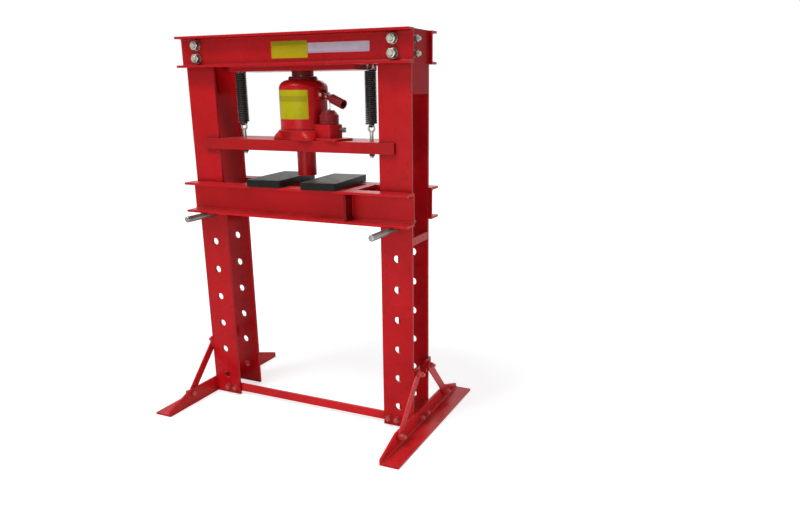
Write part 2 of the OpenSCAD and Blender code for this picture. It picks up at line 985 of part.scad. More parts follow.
// Ram with its piston at the foot, a groove for the seal and a bore for the extension screw
module jack_ram() {
    seat = ram_foot_z;
    top = saddle_z;
    r = cylinder_bore / 2;
    groove = seat + seal_up;
    color(steel)
        on_jack()
            rotate_extrude($fn = 96)
                polygon([
                    [0, seat], [r - 2, seat], [r, seat + 2],
                    [r, groove], [r - seal_t, groove], [r - seal_t, groove + seal_h], [r, groove + seal_h],
                    [r, seat + piston_h], [ram_rod_d / 2, seat + piston_h], [ram_rod_d / 2, top],
                    [screw_d / 2 + run_fit, top], [screw_d / 2 + run_fit, rod_bore_z], [0, rod_bore_z]
                ]);
}

module ram_seal() color(rubber)
    on_jack()
        translate([0, 0, ram_foot_z + seal_up])
            difference() {
                cylinder(r = cylinder_bore / 2 + run_fit / 2, h = seal_h);
                translate([0, 0, -1])
                    cylinder(r = cylinder_bore / 2 - seal_t, h = seal_h + 2 * cut);
            }

// Extension screw, turned right down into the ram, with the saddle on its head
module jack_screw() color(steel)
    on_jack()
        rotate_extrude($fn = 96)
            polygon([
                [0, rod_bore_z + 10], [screw_d / 2 - 2, rod_bore_z + 10], [screw_d / 2, rod_bore_z + 12],
                [screw_d / 2, saddle_z], [saddle_d / 2 - 3, saddle_z], [saddle_d / 2, saddle_z + 3],
                [saddle_d / 2, saddle_z + saddle_t], [0, saddle_z + saddle_t]
            ]);

// Screws from under the deck that hold the base casting down
module jack_bolts() color(zinc)
    on_jack()
        for (at = jack_bolt_at)
            translate([at[0], at[1], -deck_t - jack_bolt[2]]) {
                hex_block(jack_bolt[1], jack_bolt[2]);
                translate([0, 0, jack_bolt[2]])
                    cylinder(d = jack_bolt[0], h = deck_t + jack_bolt_in);
            }

// Balls of the suction and delivery valves, at rest on their seats
module check_balls() color(steel)
    on_jack() {
        translate([pump_x, 0, passage_z + ball_d / 2])
            sphere(d = ball_d, $fn = 24);
        translate([0, 0, passage_z + passage_d + ball_d / 2])
            sphere(d = ball_d, $fn = 24);
    }

// Pump -------------------------------------------------------------------------------------------

module pump_barrel() color(dark_red)
    on_jack()
        translate([pump_x, 0, 0])
            difference() {
                union() {
                    translate([0, 0, pump_z])
                        cylinder(d = pump_spigot_d, h = block_h - pump_z);
                    translate([0, 0, block_h])
                        cylinder(d = pump_barrel_d, h = pump_cone_z - block_h);
                    translate([0, 0, pump_cone_z])
                        cylinder(d1 = pump_barrel_d, d2 = pump_spigot_d + 8, h = pump_top - pump_cone_z);
                }
                translate([0, 0, pump_z - cut])
                    cylinder(r = pump_d / 2 + run_fit, h = pump_top);
            }

// Lugs on the tank's wall that carry the lever's fulcrum pin
module fulcrum_lugs() color(red)
    on_jack()
        for (y = [cheek_out + lug_gap + fulcrum_lug_t, -cheek_out - lug_gap])
            difference() {
                translate([fulcrum_x, y, fulcrum_z])
                    rotate([90, 0, 0])
                        linear_extrude(height = fulcrum_lug_t)
                            difference() {
                                union() {
                                    circle(r = cheek_r);
                                    translate([-fulcrum_lug_back, -fulcrum_lug_h / 2])
                                        square([fulcrum_lug_back - cheek_r, fulcrum_lug_h]);
                                    translate([-fulcrum_lug_back, -cheek_r])
                                        square([fulcrum_lug_back, 2 * cheek_r]);
                                }
                                circle(d = fulcrum_pin_d);
                            }
                cylinder(d = tank_d, h = 2 * fulcrum_z, $fn = 96);
            }

module fulcrum_pin() color(zinc)
    on_jack()
        translate([fulcrum_x, 0, fulcrum_z])
            rotate([90, 0, 0]) {
                half = cheek_out + lug_gap + fulcrum_lug_t;
                translate([0, 0, -half - 2])
                    cylinder(d = fulcrum_pin_d, h = 2 * half + 4);
                translate([0, 0, half])
                    cylinder(d = fulcrum_pin_d + 5, h = 3);
            }

// Forked lever with a socket for the pump handle. It is drawn level and then let down to its rest angle.
module lever_socket() color(dark_red)
    on_jack()
        translate([fulcrum_x, 0, fulcrum_z])
            rotate([0, lever_rest, 0])
                difference() {
                    union() {
                        for (y = [-cheek_in, cheek_out])
                            translate([0, y, 0])
                                rotate([90, 0, 0])
                                    linear_extrude(height = cheek_t) {
                                        circle(r = cheek_r);
                                        translate([0, -cheek_r])
                                            square([socket_u[0] + socket_wall, 2 * cheek_r]);
                                    }
                        translate([socket_u[0], 0, 0])
                            rotate([0, 90, 0])
                                cylinder(d = socket_d, h = socket_u[1] - socket_u[0]);
                    }
                    rotate([90, 0, 0])
                        translate([0, 0, -cheek_out - cut]) {
                            cylinder(r = fulcrum_pin_d / 2 + run_fit, h = 2 * cheek_out + 2 * cut);
                            translate([lever_arm, 0, 0])
                                cylinder(d = piston_pin_d + thread_fit, h = 2 * cheek_out + 2 * cut);
                        }
                    translate([socket_u[0] + socket_floor, 0, 0])
                        rotate([0, 90, 0])
                            cylinder(d = socket_d - 2 * socket_wall, h = socket_u[1]);
                }

module piston_pin() color(zinc)
    on_jack()
        translate([piston_pin_x, cheek_out, piston_pin_z])
            rotate([90, 0, 0])
                cylinder(d = piston_pin_d, h = 2 * cheek_out);

// Piston with a flat head. The slot lets the lever's pin swing on its arc.
module pump_piston() color(steel)
    on_jack()
        translate([pump_x, 0, 0]) {
            foot_z = pump_z + passage_d + 2;
            neck_z = piston_pin_z - piston_head_low;
            difference() {
                union() {
                    translate([0, 0, foot_z])
                        cylinder(d = pump_d, h = neck_z - foot_z);
                    translate([-piston_head_w / 2, -piston_head_t / 2, neck_z])
                        cube([piston_head_w, piston_head_t, piston_head_h]);
                }
                translate([0, piston_head_t, piston_pin_z])
                    rotate([90, 0, 0])
                        linear_extrude(height = 2 * piston_head_t) {
                            square([2 * slot_side, piston_pin_d + 2 * slot_rise], center = true);
                            for (x = [-slot_side, slot_side])
                                translate([x, 0])
                                    circle(d = piston_pin_d + 2 * slot_rise);
                        }
            }
        }

// Release screw in the end of the pump block, with a cross slot for the handle's end
module release_valve() color(zinc)
    on_jack()
        translate([block_x[1], valve_y, valve_z])
            rotate([0, 90, 0]) {
                translate([0, 0, valve_tip - valve_len])
                    cylinder(d = valve_d, h = valve_len - valve_tip + rest_gap + cut);
                difference() {
                    translate([0, 0, rest_gap])
                        cylinder(d = valve_head_d, h = valve_head_t);
                    for (a = [0, 90])
                        rotate([0, 0, a])
                            translate([-valve_head_d, -valve_slot / 2, valve_head_t - valve_slot_deep])
                                cube([2 * valve_head_d, valve_slot, 2 * valve_slot_deep]);
                }
            }

// Bed --------------------------------------------------------------------------------------------

module bed_channel() {
    color(red)
        translate([0, 0, bed_z])
            beam_channel(beam_len, bed_h, bed_b, bed_web, bed_flange, bed_root_r, bed_web_y);
}

module bed_channel_front() bed_channel();
module bed_channel_rear()
    rotate([0, 0, 180])
        bed_channel();

// Stiffeners between the flanges, one in each channel, with clipped inner corners
module bed_ribs() color(red)
    for (turn = [0, 180])
        rotate([0, 0, turn])
            translate([rib_x - rib_t / 2, -bed_web_y - bed_web, bed_z])
                rotate([90, 0, 90])
                    linear_extrude(height = rib_t)
                        polygon([
                            [0, bed_flange + bed_root_r], [-bed_root_r, bed_flange],
                            [-rib_len, bed_flange], [-rib_len, bed_h - bed_flange],
                            [-bed_root_r, bed_h - bed_flange], [0, bed_h - bed_flange - bed_root_r]
                        ]);

// Angle-section cross pieces that hold the two channels apart
module bed_cross_pieces() color(red)
    both_sides()
        translate([cross_x - cross_w, bed_web_y, bed_z])
            rotate([90, 0, 0])
                linear_extrude(height = 2 * bed_web_y) {
                    translate([0, bed_h - cross_t])
                        square([cross_w, cross_t]);
                    translate([0, bed_h - cross_h])
                        square([cross_t, cross_h]);
                }

// Loose plate that lies across the bed
module arbor_plate(side) {
    w = arbor_w / 2;
    l = arbor_len / 2;
    e = arbor_edge;
    color(black)
        translate([side * arbor_x, 0, arbor_z])
            rotate([0, 0, plates_turn])
                linear_extrude(height = arbor_t)
                    polygon([
                        [-w + e, -l], [w - e, -l], [w, -l + e], [w, l - e],
                        [w - e, l], [-w + e, l], [-w, l - e], [-w, -l + e]
                    ]);
}

module arbor_plate_left() arbor_plate(-1);
module arbor_plate_right() arbor_plate(1);

// Pin through a post, front to rear, that the bed rests on
module bed_pin(side, shift) {
    r = pin_d / 2;
    e = pin_edge;
    color(zinc)
        translate([side * post_x, -shift + pin_len / 2, pin_z])
            rotate([90, 0, 0])
                rotate_extrude()
                    polygon([[0, 0], [r - e, 0], [r, e], [r, pin_len - e], [r - e, pin_len], [0, pin_len]]);
}

module bed_pin_left() bed_pin(-1, pin_shift_left);
module bed_pin_right() bed_pin(1, pin_shift_right);

// Assembly ---------------------------------------------------------------------------------------

post_left_front();
post_left_rear();
post_right_front();
post_right_rear();
end_plates();
end_clips();
mid_battens();
base_battens();
brace_lugs();
top_channel_front();
top_channel_rear();
thrust_plate();
spring_hangers();
upper_eyes();
upper_eye_nuts();
beam_bolts();
beam_nuts();
beam_washers();
frame_bolts();
frame_nuts();
frame_washers();
foot_left();
foot_right();
braces();
tie_bar();
jack_ram();
jack_screw();
ram_seal();
ram_bar_front();
ram_bar_rear();
ram_deck();
ram_straps();
plunger();
jack_base();
jack_tank();
jack_cylinder();
jack_cap();
wiper_ring();
pump_barrel();
fulcrum_lugs();
fulcrum_pin();
filler_plug();
jack_bolts();
check_balls();
lower_eyes();
lower_eye_nuts();
spring_left();
spring_right();
bed_channel_front();
bed_channel_rear();
bed_ribs();
bed_cross_pieces();
arbor_plate_left();
arbor_plate_right();
bed_pin_left();
bed_pin_right();
lever_socket();
piston_pin();
pump_piston();
release_valve();
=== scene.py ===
import json
from math import cos, pi, radians, sin

import bmesh
import bpy
import numpy as np
from mathutils import Matrix


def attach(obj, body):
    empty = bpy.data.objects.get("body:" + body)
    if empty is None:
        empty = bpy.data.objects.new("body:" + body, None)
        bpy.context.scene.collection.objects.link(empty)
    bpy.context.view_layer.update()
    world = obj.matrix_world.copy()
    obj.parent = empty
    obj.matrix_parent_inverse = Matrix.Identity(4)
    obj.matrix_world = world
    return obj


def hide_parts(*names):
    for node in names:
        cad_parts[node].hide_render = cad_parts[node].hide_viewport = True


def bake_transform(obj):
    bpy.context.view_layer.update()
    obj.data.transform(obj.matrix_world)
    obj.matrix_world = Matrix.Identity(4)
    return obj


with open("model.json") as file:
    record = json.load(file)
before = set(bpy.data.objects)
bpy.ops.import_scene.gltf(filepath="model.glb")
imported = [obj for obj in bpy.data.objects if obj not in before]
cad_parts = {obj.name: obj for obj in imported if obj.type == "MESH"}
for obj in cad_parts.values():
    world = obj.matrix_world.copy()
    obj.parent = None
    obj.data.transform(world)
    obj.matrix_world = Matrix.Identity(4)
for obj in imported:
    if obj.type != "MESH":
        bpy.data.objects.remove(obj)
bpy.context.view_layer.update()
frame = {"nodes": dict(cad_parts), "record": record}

# ---- Camera ------------------------------------------------------------------
# A view from the front right at chest height, a little down on the bed. The lens is shifted a little, so that
# the posts stay nearly upright.
view_right = (0.910403, 0.413671, -0.006584)
view_up = (-0.117619, 0.274046, 0.954497)
view_back = (0.396652, -0.868202, 0.298148)
camera = bpy.data.objects.new("camera", bpy.data.cameras.new("camera"))
camera.data.sensor_width = 36.0
camera.data.lens = 31.737
camera.data.shift_x = -0.01163
camera.data.shift_y = 0.06938
camera.data.clip_end = 60.0
turn = Matrix((view_right, view_up, view_back)).transposed().to_4x4()
camera.matrix_world = Matrix.Translation((1.7785, -2.7815, 1.5154)) @ turn
bpy.context.scene.collection.objects.link(camera)
bpy.context.scene.camera = camera
bpy.context.scene.view_settings.view_transform = "Standard"


# ---- Studio floor and light --------------------------------------------------
# A matt white floor under a white surround. A wide lamp overhead in front gives the form. Four weaker ones,
# from the right, low in front, low beside the near foot and behind, fill in as a studio's soft boxes do.
def wire(tree, kind, inputs=None, **fields):
    """Adds a node of the kind named, sets its fields, and gives each input a value or another node's
    socket."""
    node = tree.nodes.new(kind)
    for field, value in fields.items():
        setattr(node, field, value)
    for socket, value in (inputs or {}).items():
        if isinstance(value, bpy.types.NodeSocket):
            tree.links.new(value, node.inputs[socket])
        else:
            node.inputs[socket].default_value = value
    return node


def spot(tree):
    """Where on the piece a point lies, in metres in the piece's own axes."""
    return wire(tree, "ShaderNodeTexCoord").outputs["Object"]


def seen_directly(tree):
    """A socket that is 1 for rays from the camera, from a glossy surface or through glass, and 0 for
    others."""
    path = wire(tree, "ShaderNodeLightPath")
    shine = wire(tree, "ShaderNodeMath", {0: path.outputs["Is Camera Ray"], 1: path.outputs["Is Glossy Ray"]},
                 operation="MAXIMUM")
    return wire(tree, "ShaderNodeMath", {0: shine.outputs[0], 1: path.outputs["Is Transmission Ray"]},
                operation="MAXIMUM").outputs[0]


world = bpy.data.worlds.new("studio")
world.use_nodes = True
bpy.context.scene.world = world
tree = world.node_tree
tree.nodes.clear()
room_light, seen_white = 0.30, 1.0
level = wire(tree, "ShaderNodeMapRange",
             {"Value": seen_directly(tree), "To Min": room_light, "To Max": seen_white})
sky = wire(tree, "ShaderNodeBackground", {"Color": (1, 1, 1, 1), "Strength": level.outputs[0]})
wire(tree, "ShaderNodeOutputWorld", {"Surface": sky.outputs[0]})

# The floor is a little grey, for the press's shadow, and glows up to white over some metres.
floor_half, floor_white, glow_near, glow_far = 14.0, 0.62, 0.9, 2.8
floor_mesh = bpy.data.meshes.new("floor")
floor_mesh.from_pydata([(-floor_half, -floor_half, 0), (floor_half, -floor_half, 0),
                        (floor_half, floor_half, 0), (-floor_half, floor_half, 0)], [], [(0, 1, 2, 3)])
floor = bpy.data.objects.new("floor", floor_mesh)
bpy.context.scene.collection.objects.link(floor)
floor_paint = bpy.data.materials.new("white floor")
floor_paint.use_nodes = True
tree = floor_paint.node_tree
tree.nodes.clear()
matt = wire(tree, "ShaderNodeBsdfDiffuse", {"Color": (floor_white, floor_white, floor_white, 1)})
away = wire(tree, "ShaderNodeVectorMath", {0: spot(tree)}, operation="LENGTH")
rise = wire(tree, "ShaderNodeMapRange", {"Value": away.outputs["Value"], "From Min": glow_near,
                                         "From Max": glow_far, "To Min": floor_white, "To Max": seen_white})
lift = wire(tree, "ShaderNodeMath", {0: seen_directly(tree), 1: rise.outputs[0]}, operation="MULTIPLY")
glow = wire(tree, "ShaderNodeEmission", {"Color": (1, 1, 1, 1), "Strength": lift.outputs[0]})
both = wire(tree, "ShaderNodeAddShader", {0: matt.outputs[0], 1: glow.outputs[0]})
wire(tree, "ShaderNodeOutputMaterial", {"Surface": both.outputs[0]})
floor_mesh.materials.append(floor_paint)


def soft_box(name, place, aim, size, watts):
    """A square lamp at place, facing aim."""
    lamp = bpy.data.lights.new(name, "AREA")
    lamp.size = size
    lamp.energy = watts
    stand = bpy.data.objects.new(name, lamp)
    away = np.array(place) - np.array(aim)
    away = away / np.linalg.norm(away)
    side = np.cross((0, 0, 1), away)
    side = side / np.linalg.norm(side)
    up = np.cross(away, side)
    stand.matrix_world = Matrix.Translation(place) @ Matrix([side, up, away]).transposed().to_4x4()
    bpy.context.scene.collection.objects.link(stand)


soft_box("key", (-1.5, -3.0, 6.5), (0, 0, 0.8), 2.1, 232)
soft_box("side", (3.2, -0.4, 3.2), (0, 0, 0.9), 1.8, 9)
soft_box("low front", (0.2, -4.4, 0.7), (0, 0, 0.3), 2.2, 62)
soft_box("low side", (2.1, -1.0, 0.4), (0.6, 0, 0.05), 0.7, 6)
soft_box("back", (-0.8, 3.6, 3.4), (0, 0, 0.9), 2.0, 46)


# ---- Red enamel on rolled steel ----------------------------------------------
# The frame is cut from rolled plate, channel and flat bar, welded or bolted up and sprayed with one thick
# coat of glossy red. The coat has a fine orange peel, is thin on sharp edges and holds a little shop dust.
def group(name, inputs, outputs):
    """An empty node group with the sockets named: (name, kind, value) for each input, (name, kind) for each
    output. Returns the group, what it is given and the node that takes its results."""
    made = bpy.data.node_groups.new(name, "ShaderNodeTree")
    for label, kind, value in inputs:
        socket = made.interface.new_socket(label, in_out="INPUT", socket_type="NodeSocket" + kind)
        socket.default_value = value
    for label, kind in outputs:
        made.interface.new_socket(label, in_out="OUTPUT", socket_type="NodeSocket" + kind)
    return made, made.nodes.new("NodeGroupInput").outputs, made.nodes.new("NodeGroupOutput")


def noise(tree, place, scale, detail, rough):
    """Value of a fractal noise with so many waves a metre."""
    return wire(tree, "ShaderNodeTexNoise", {"Vector": place, "Scale": scale, "Detail": detail,
                                             "Roughness": rough}).outputs["Fac"]


def span(tree, value, low, high, to_low=0.0, to_high=1.0):
    """Value carried from low..high to to_low..to_high and held there."""
    return wire(tree, "ShaderNodeMapRange", {"Value": value, "From Min": low, "From Max": high,
                                             "To Min": to_low, "To Max": to_high}).outputs[0]


def facing_up(tree):
    """1 on a face that looks straight up, 0 on an upright one."""
    flat = wire(tree, "ShaderNodeNewGeometry").outputs["Normal"]
    return wire(tree, "ShaderNodeSeparateXYZ", {0: flat}).outputs["Z"]


def math_of(tree, kind, a, b):
    """Result of a step on two values."""
    return wire(tree, "ShaderNodeMath", {0: a, 1: b}, operation=kind).outputs[0]


def times(tree, a, b):
    """Product of two values."""
    return math_of(tree, "MULTIPLY", a, b)


def plus(tree, a, b):
    """Sum of two values."""
    return math_of(tree, "ADD", a, b)


def blend_of(tree, factor, a, b):
    """Colour a where factor is 0 and colour b where it is 1."""
    mix = wire(tree, "ShaderNodeMix", {"Factor": factor}, data_type="RGBA")
    for socket, value in ((mix.inputs[6], a), (mix.inputs[7], b)):
        if isinstance(value, bpy.types.NodeSocket):
            tree.links.new(value, socket)
        else:
            socket.default_value = (*value, 1.0)
    return mix.outputs[2]


# Edge mask: how far the normal of an edge rounded to Width turns from the face's own, kept to edges that
# stand proud, and broken up by noise.
edge_group, given, result = group(
    "worn edges", [("Width", "Float", 0.002), ("Breakup", "Float", 60.0)],
    [("Mask", "Float"), ("Open", "Float")])
tree = edge_group
rounded = wire(tree, "ShaderNodeBevel", {"Radius": given["Width"]}, samples=4)
flat = wire(tree, "ShaderNodeNewGeometry").outputs["Normal"]
agree = wire(tree, "ShaderNodeVectorMath", {0: rounded.outputs[0], 1: flat}, operation="DOT_PRODUCT")
bent = span(tree, agree.outputs["Value"], 0.995, 0.86)
open_sky = wire(tree, "ShaderNodeAmbientOcclusion", {"Distance": 0.03}, samples=4)
proud = span(tree, open_sky.outputs["AO"], 0.55, 0.85)
chips = span(tree, noise(tree, spot(tree), given["Breakup"], 3.0, 0.65), 0.42, 0.62)
tree.links.new(times(tree, times(tree, bent, proud), chips), result.inputs["Mask"])
tree.links.new(open_sky.outputs["AO"], result.inputs["Open"])

# Sprayed film: a slow drift of tone from pass to pass of the gun, an orange peel of about two millimetres,
# and a gloss that varies with it.
film_group, given, result = group(
    "sprayed film",
    [("Colour", "Color", (0.5, 0.5, 0.5, 1)), ("Gloss", "Float", 0.3), ("Drift", "Float", 0.12)],
    [("Colour", "Color"), ("Roughness", "Float"), ("Height", "Float")])
tree = film_group
place = spot(tree)
slow, mottle = noise(tree, place, 4.5, 2.0, 0.6), noise(tree, place, 38.0, 3.0, 0.6)
peel = noise(tree, place, 520.0, 1.5, 0.5)
tone = plus(tree, span(tree, slow, 0.3, 0.7, -1.0, 1.0), span(tree, mottle, 0.3, 0.7, -0.4, 0.4))
gain = plus(tree, times(tree, tone, given["Drift"]), 1.0)
shade = wire(tree, "ShaderNodeVectorMath", {0: given["Colour"], 1: gain}, operation="MULTIPLY")
tree.links.new(shade.outputs[0], result.inputs["Colour"])
tree.links.new(plus(tree, peel, times(tree, mottle, 1.6)), result.inputs["Height"])
rough = plus(tree, given["Gloss"], span(tree, mottle, 0.3, 0.7, -0.05, 0.07))
tree.links.new(rough, result.inputs["Roughness"])

# Shop dust: on faces that look up, more of it in corners, in soft patches.
dust_group, given, result = group(
    "shop dust", [("Amount", "Float", 0.3), ("Open", "Float", 1.0)], [("Mask", "Float")])
tree = dust_group
lies = span(tree, facing_up(tree), 0.55, 0.95)
corner = span(tree, given["Open"], 1.0, 0.45, 0.25, 1.0)
patch = span(tree, noise(tree, spot(tree), 14.0, 4.0, 0.65), 0.30, 0.72, 0.2, 1.0)
both = times(tree, times(tree, lies, corner), patch)
tree.links.new(times(tree, both, given["Amount"]), result.inputs["Mask"])

# Scuffs: short fine scratches in patches, in two directions, from sliding work and tools.
scuff_group, given, result = group("scuffs", [("Amount", "Float", 0.3)], [("Mask", "Float")])
tree = scuff_group
place = spot(tree)
scratch_waves = (22.0, 620.0, 620.0)
marks = []
for turned_by, offset in (((0.2, 0.5, 0.9), 0.0), ((1.1, 0.3, 2.2), 3.7)):
    laid = wire(tree, "ShaderNodeMapping",
                {"Vector": place, "Location": (offset,) * 3, "Rotation": turned_by})
    fine = wire(tree, "ShaderNodeVectorMath", {0: laid.outputs[0], 1: scratch_waves}, operation="MULTIPLY")
    marks.append(span(tree, noise(tree, fine.outputs[0], 1.0, 1.0, 0.5), 0.655, 0.72))
worked = span(tree, noise(tree, place, 9.0, 2.0, 0.6), 0.45, 0.65)
mask = times(tree, math_of(tree, "MAXIMUM", marks[0], marks[1]), worked)
tree.links.new(times(tree, mask, given["Amount"]), result.inputs["Mask"])


def material(name):
    """A material with one Principled shader. Returns it with its tree and that shader."""
    made = bpy.data.materials.new(name)
    made.use_nodes = True
    return made, made.node_tree, made.node_tree.nodes["Principled BSDF"]


def placed(tree, made_group, **inputs):
    """The outputs of a node group placed in a material with these inputs."""
    node = tree.nodes.new("ShaderNodeGroup")
    node.node_tree = made_group
    for label, value in inputs.items():
        if isinstance(value, bpy.types.NodeSocket):
            tree.links.new(value, node.inputs[label])
        else:
            node.inputs[label].default_value = value
    return node.outputs


def coat(tree, shader, tone, rough, height, depth):
    """Gives a shader its colour and roughness, and a relief of the height times depth, in metres."""
    tree.links.new(tone, shader.inputs["Base Color"])
    tree.links.new(rough, shader.inputs["Roughness"])
    relief = wire(tree, "ShaderNodeBump", {"Height": height, "Distance": depth, "Strength": 1.0})
    tree.links.new(relief.outputs[0], shader.inputs["Normal"])


def enamel(name, colour, gloss=0.30, drift=0.12, dust=0.25, depth=0.00006, cast=0.0, shine=0.13,
           scuffed=0.18):
    """Paint on steel: the film's colour, scuffed dull in places, darkened in corners as painted shade, worn
    to bare on edges, dust lying on top. With cast above 0, the skin of a sand casting shows through the film."""
    made, tree, shader = material(name)
    shader.inputs["Specular IOR Level"].default_value = shine
    edge = placed(tree, edge_group, Width=0.0022, Breakup=70.0)
    film = placed(tree, film_group, Colour=(*colour, 1), Gloss=gloss, Drift=drift)
    lying = placed(tree, dust_group, Amount=dust, Open=edge["Open"])["Mask"]
    scuff = placed(tree, scuff_group, Amount=scuffed)["Mask"]
    worn = times(tree, edge["Mask"], 0.5)
    # Darker in corners, where the occlusion says less light reaches: painted shade.
    corner_shade = span(tree, edge["Open"], 0.90, 0.45, 0.0, 0.6)
    rubbed_tone, corner_shade_tone = tuple(0.75 * v + 0.10 for v in colour), tuple(0.30 * v for v in colour)
    bare_tone, dusty_tone = (0.20, 0.055, 0.05), (0.50, 0.30, 0.28)
    tone = film["Colour"]
    for mask, laid in ((scuff, rubbed_tone), (corner_shade, corner_shade_tone), (worn, bare_tone), (lying, dusty_tone)):
        tone = blend_of(tree, mask, tone, laid)
    dulled = times(tree, math_of(tree, "MAXIMUM", worn, scuff), 0.25)
    rough = plus(tree, plus(tree, film["Roughness"], times(tree, lying, 0.35)), dulled)
    height = math_of(tree, "SUBTRACT", film["Height"], times(tree, scuff, 0.4))
    if cast:
        height = plus(tree, height, times(tree, noise(tree, spot(tree), 240.0, 4.0, 0.7), cast))
    coat(tree, shader, tone, rough, height, depth)
    return made


red = (0.470, 0.0055, 0.0090)
red_enamel = enamel("red enamel", red)


# ---- Posts, battens and end plates -------------------------------------------
# Each post is two flat plates, punched with a row of round holes, held apart by flat battens and by an end
# plate at the head. All are mild steel plate, flame-cut, with their edges ground.
body_of = {node: body for body, nodes in frame["record"]["behaviour"]["bodies"].items() for node in nodes}


def eased(node, finish, width=0.0012, steps=2, angle=32):
    """Copy of a CAD part whose triangles are joined into whole faces, with every sharp edge rounded to width,
    as a grinder and a coat of paint leave it."""
    work = bmesh.new()
    work.from_mesh(frame["nodes"][node].data)
    bmesh.ops.remove_doubles(work, verts=work.verts, dist=3e-6)
    bmesh.ops.dissolve_limit(work, angle_limit=radians(0.6), verts=work.verts, edges=work.edges)
    mesh = bpy.data.meshes.new(node + "_eased")
    work.to_mesh(mesh)
    work.free()
    mesh.materials.clear()
    mesh.materials.append(finish)
    mesh.shade_smooth()
    mesh.set_sharp_from_angle(angle=radians(angle))
    made = bpy.data.objects.new(node + "_eased", mesh)
    bpy.context.scene.collection.objects.link(made)
    edge = made.modifiers.new("eased edges", "BEVEL")
    edge.width = width
    edge.segments = steps
    edge.limit_method = "ANGLE"
    edge.angle_limit = radians(angle)
    edge.harden_normals = True
    edge.use_clamp_overlap = True
    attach(made, body_of[node])
    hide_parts(node)


for node in ("post_left_front", "post_left_rear", "post_right_front", "post_right_rear",
             "end_clips", "mid_battens", "base_battens", "brace_lugs"):
    eased(node, red_enamel)
# The end plates face the side, and their red is darker than the posts' as painted shade.
eased("end_plates", enamel("red enamel on the end plates, darkened as painted shade", (0.360, 0.0045, 0.0070), gloss=0.40, shine=0.05))

# ---- Top beam ----------------------------------------------------------------
# Two rolled channels stand back to back on the posts' faces. A thick plate welded under them takes the jack's
# thrust, and two flat hangers between them carry the springs' upper eyes.
for node in ("top_channel_front", "top_channel_rear", "thrust_plate"):
    eased(node, red_enamel, 0.0015)
dark_enamel = enamel("dark red enamel", (0.235, 0.012, 0.015), gloss=0.36, drift=0.15)
eased("spring_hangers", dark_enamel)

# ---- Bed ---------------------------------------------------------------------
# Two deeper channels with a stiffener in each and two angle cross pieces between them, welded up. The bed
# lies loose on its two pins.
# The bed's red is lighter than the frame's: painted light against the shade under its flanges.
bed_enamel = enamel("red enamel on the bed, lightened as painted light", (0.540, 0.0065, 0.0105), gloss=0.32)
for node in ("bed_channel_front", "bed_channel_rear", "bed_cross_pieces"):
    eased(node, bed_enamel, 0.0015)
# The ribs' red is much darker than the bed's, as painted shade on their side faces.
eased("bed_ribs", enamel("red enamel on the ribs, darkened as painted shade", (0.215, 0.0035, 0.0050), gloss=0.42, drift=0.2))

# ---- Ram beam ----------------------------------------------------------------
# A deck plate between two flat side bars that slide on the posts, two straps under it for the springs' eyes,
# and a round pressing nose turned from bar and welded under the middle.
ram_enamel = enamel("red enamel on the ram beam", (0.395, 0.0075, 0.0095), gloss=0.34, dust=0.35)
for node in ("ram_bar_front", "ram_bar_rear", "ram_deck", "ram_straps"):
    eased(node, ram_enamel)
eased("plunger", red_enamel, 0.0015, 3)

# ---- Feet, braces and tie bar ------------------------------------------------
# Angle irons with sloping ends stand under the posts, braced by flat bars with round ends, and a flat bar
# ties the posts low across the front.
# The feet, braces and tie bar have a lighter red than the frame: painted light on them.
lightened_low_red = (0.590, 0.0120, 0.0160)
floor_enamel = enamel("red enamel near the floor, lightened as painted light", lightened_low_red, dust=0.12, shine=0.12, scuffed=0.3)
for node in ("foot_left", "foot_right", "braces", "tie_bar"):
    eased(node, floor_enamel, 0.0014)


# ---- Weld beads --------------------------------------------------------------
# Hand-laid fillet welds, painted over with the steel. Each bead is a row of shallow ripples, one to every
# four millimetres, that wanders a little in width.
def skin(points):
    """Faces of a stack of closed rings, given as an array of rings by points by three: quads between each
    ring and the next, and a fan from each end ring to its middle. Returns corners, quads and triangles,
    facing outwards."""
    rings, count, _ = points.shape
    index = np.arange(rings * count).reshape(rings, count)
    low, high = index[:-1], index[1:]
    quads = np.stack([low, np.roll(low, -1, 1), np.roll(high, -1, 1), high], -1).reshape(-1, 4)
    corners = np.vstack([points.reshape(-1, 3), points[[0, -1]].mean(1)])
    start = np.stack([np.roll(index[0], -1), index[0], np.full(count, rings * count)], -1)
    end = np.stack([index[-1], np.roll(index[-1], -1), np.full(count, rings * count + 1)], -1)
    tris = np.vstack([start, end])
    whole = np.vstack([quads[:, [0, 1, 2]], quads[:, [0, 2, 3]], tris])
    a, b, c = (corners[whole[:, k]] for k in range(3))
    if np.einsum("ij,ij->i", a, np.cross(b, c)).sum() < 0:
        quads, tris = quads[:, ::-1], tris[:, ::-1]
    return corners, quads, tris


def pile(skins):
    """Several skins as one: their corners in one list, their faces counted on."""
    corners, quads, tris, base = [], [], [], 0
    for points, fours, threes in skins:
        corners.append(points)
        quads.append(fours + base)
        tris.append(threes + base)
        base += len(points)
    return np.vstack(corners), np.vstack(quads), np.vstack(tris)


def piece(name, shape, finish, body, stands_for=(), sharp=35):
    """Puts a shape's corners and faces into a mesh object, smooth but for edges over the sharp angle, that
    rides on a body when one is given and is left unattached otherwise, and takes the place of the nodes it
    stands for."""
    corners, quads, tris = shape
    mesh = bpy.data.meshes.new(name)
    mesh.from_pydata(corners.tolist(), [], quads.tolist() + tris.tolist())
    mesh.materials.append(finish)
    mesh.shade_smooth()
    mesh.set_sharp_from_angle(angle=radians(sharp))
    made = bpy.data.objects.new(name, mesh)
    bpy.context.scene.collection.objects.link(made)
    if body:
        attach(made, body)
    if stands_for:
        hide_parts(*stands_for)
    return made


ripple_pitch = 0.0042
bead_sides = 9


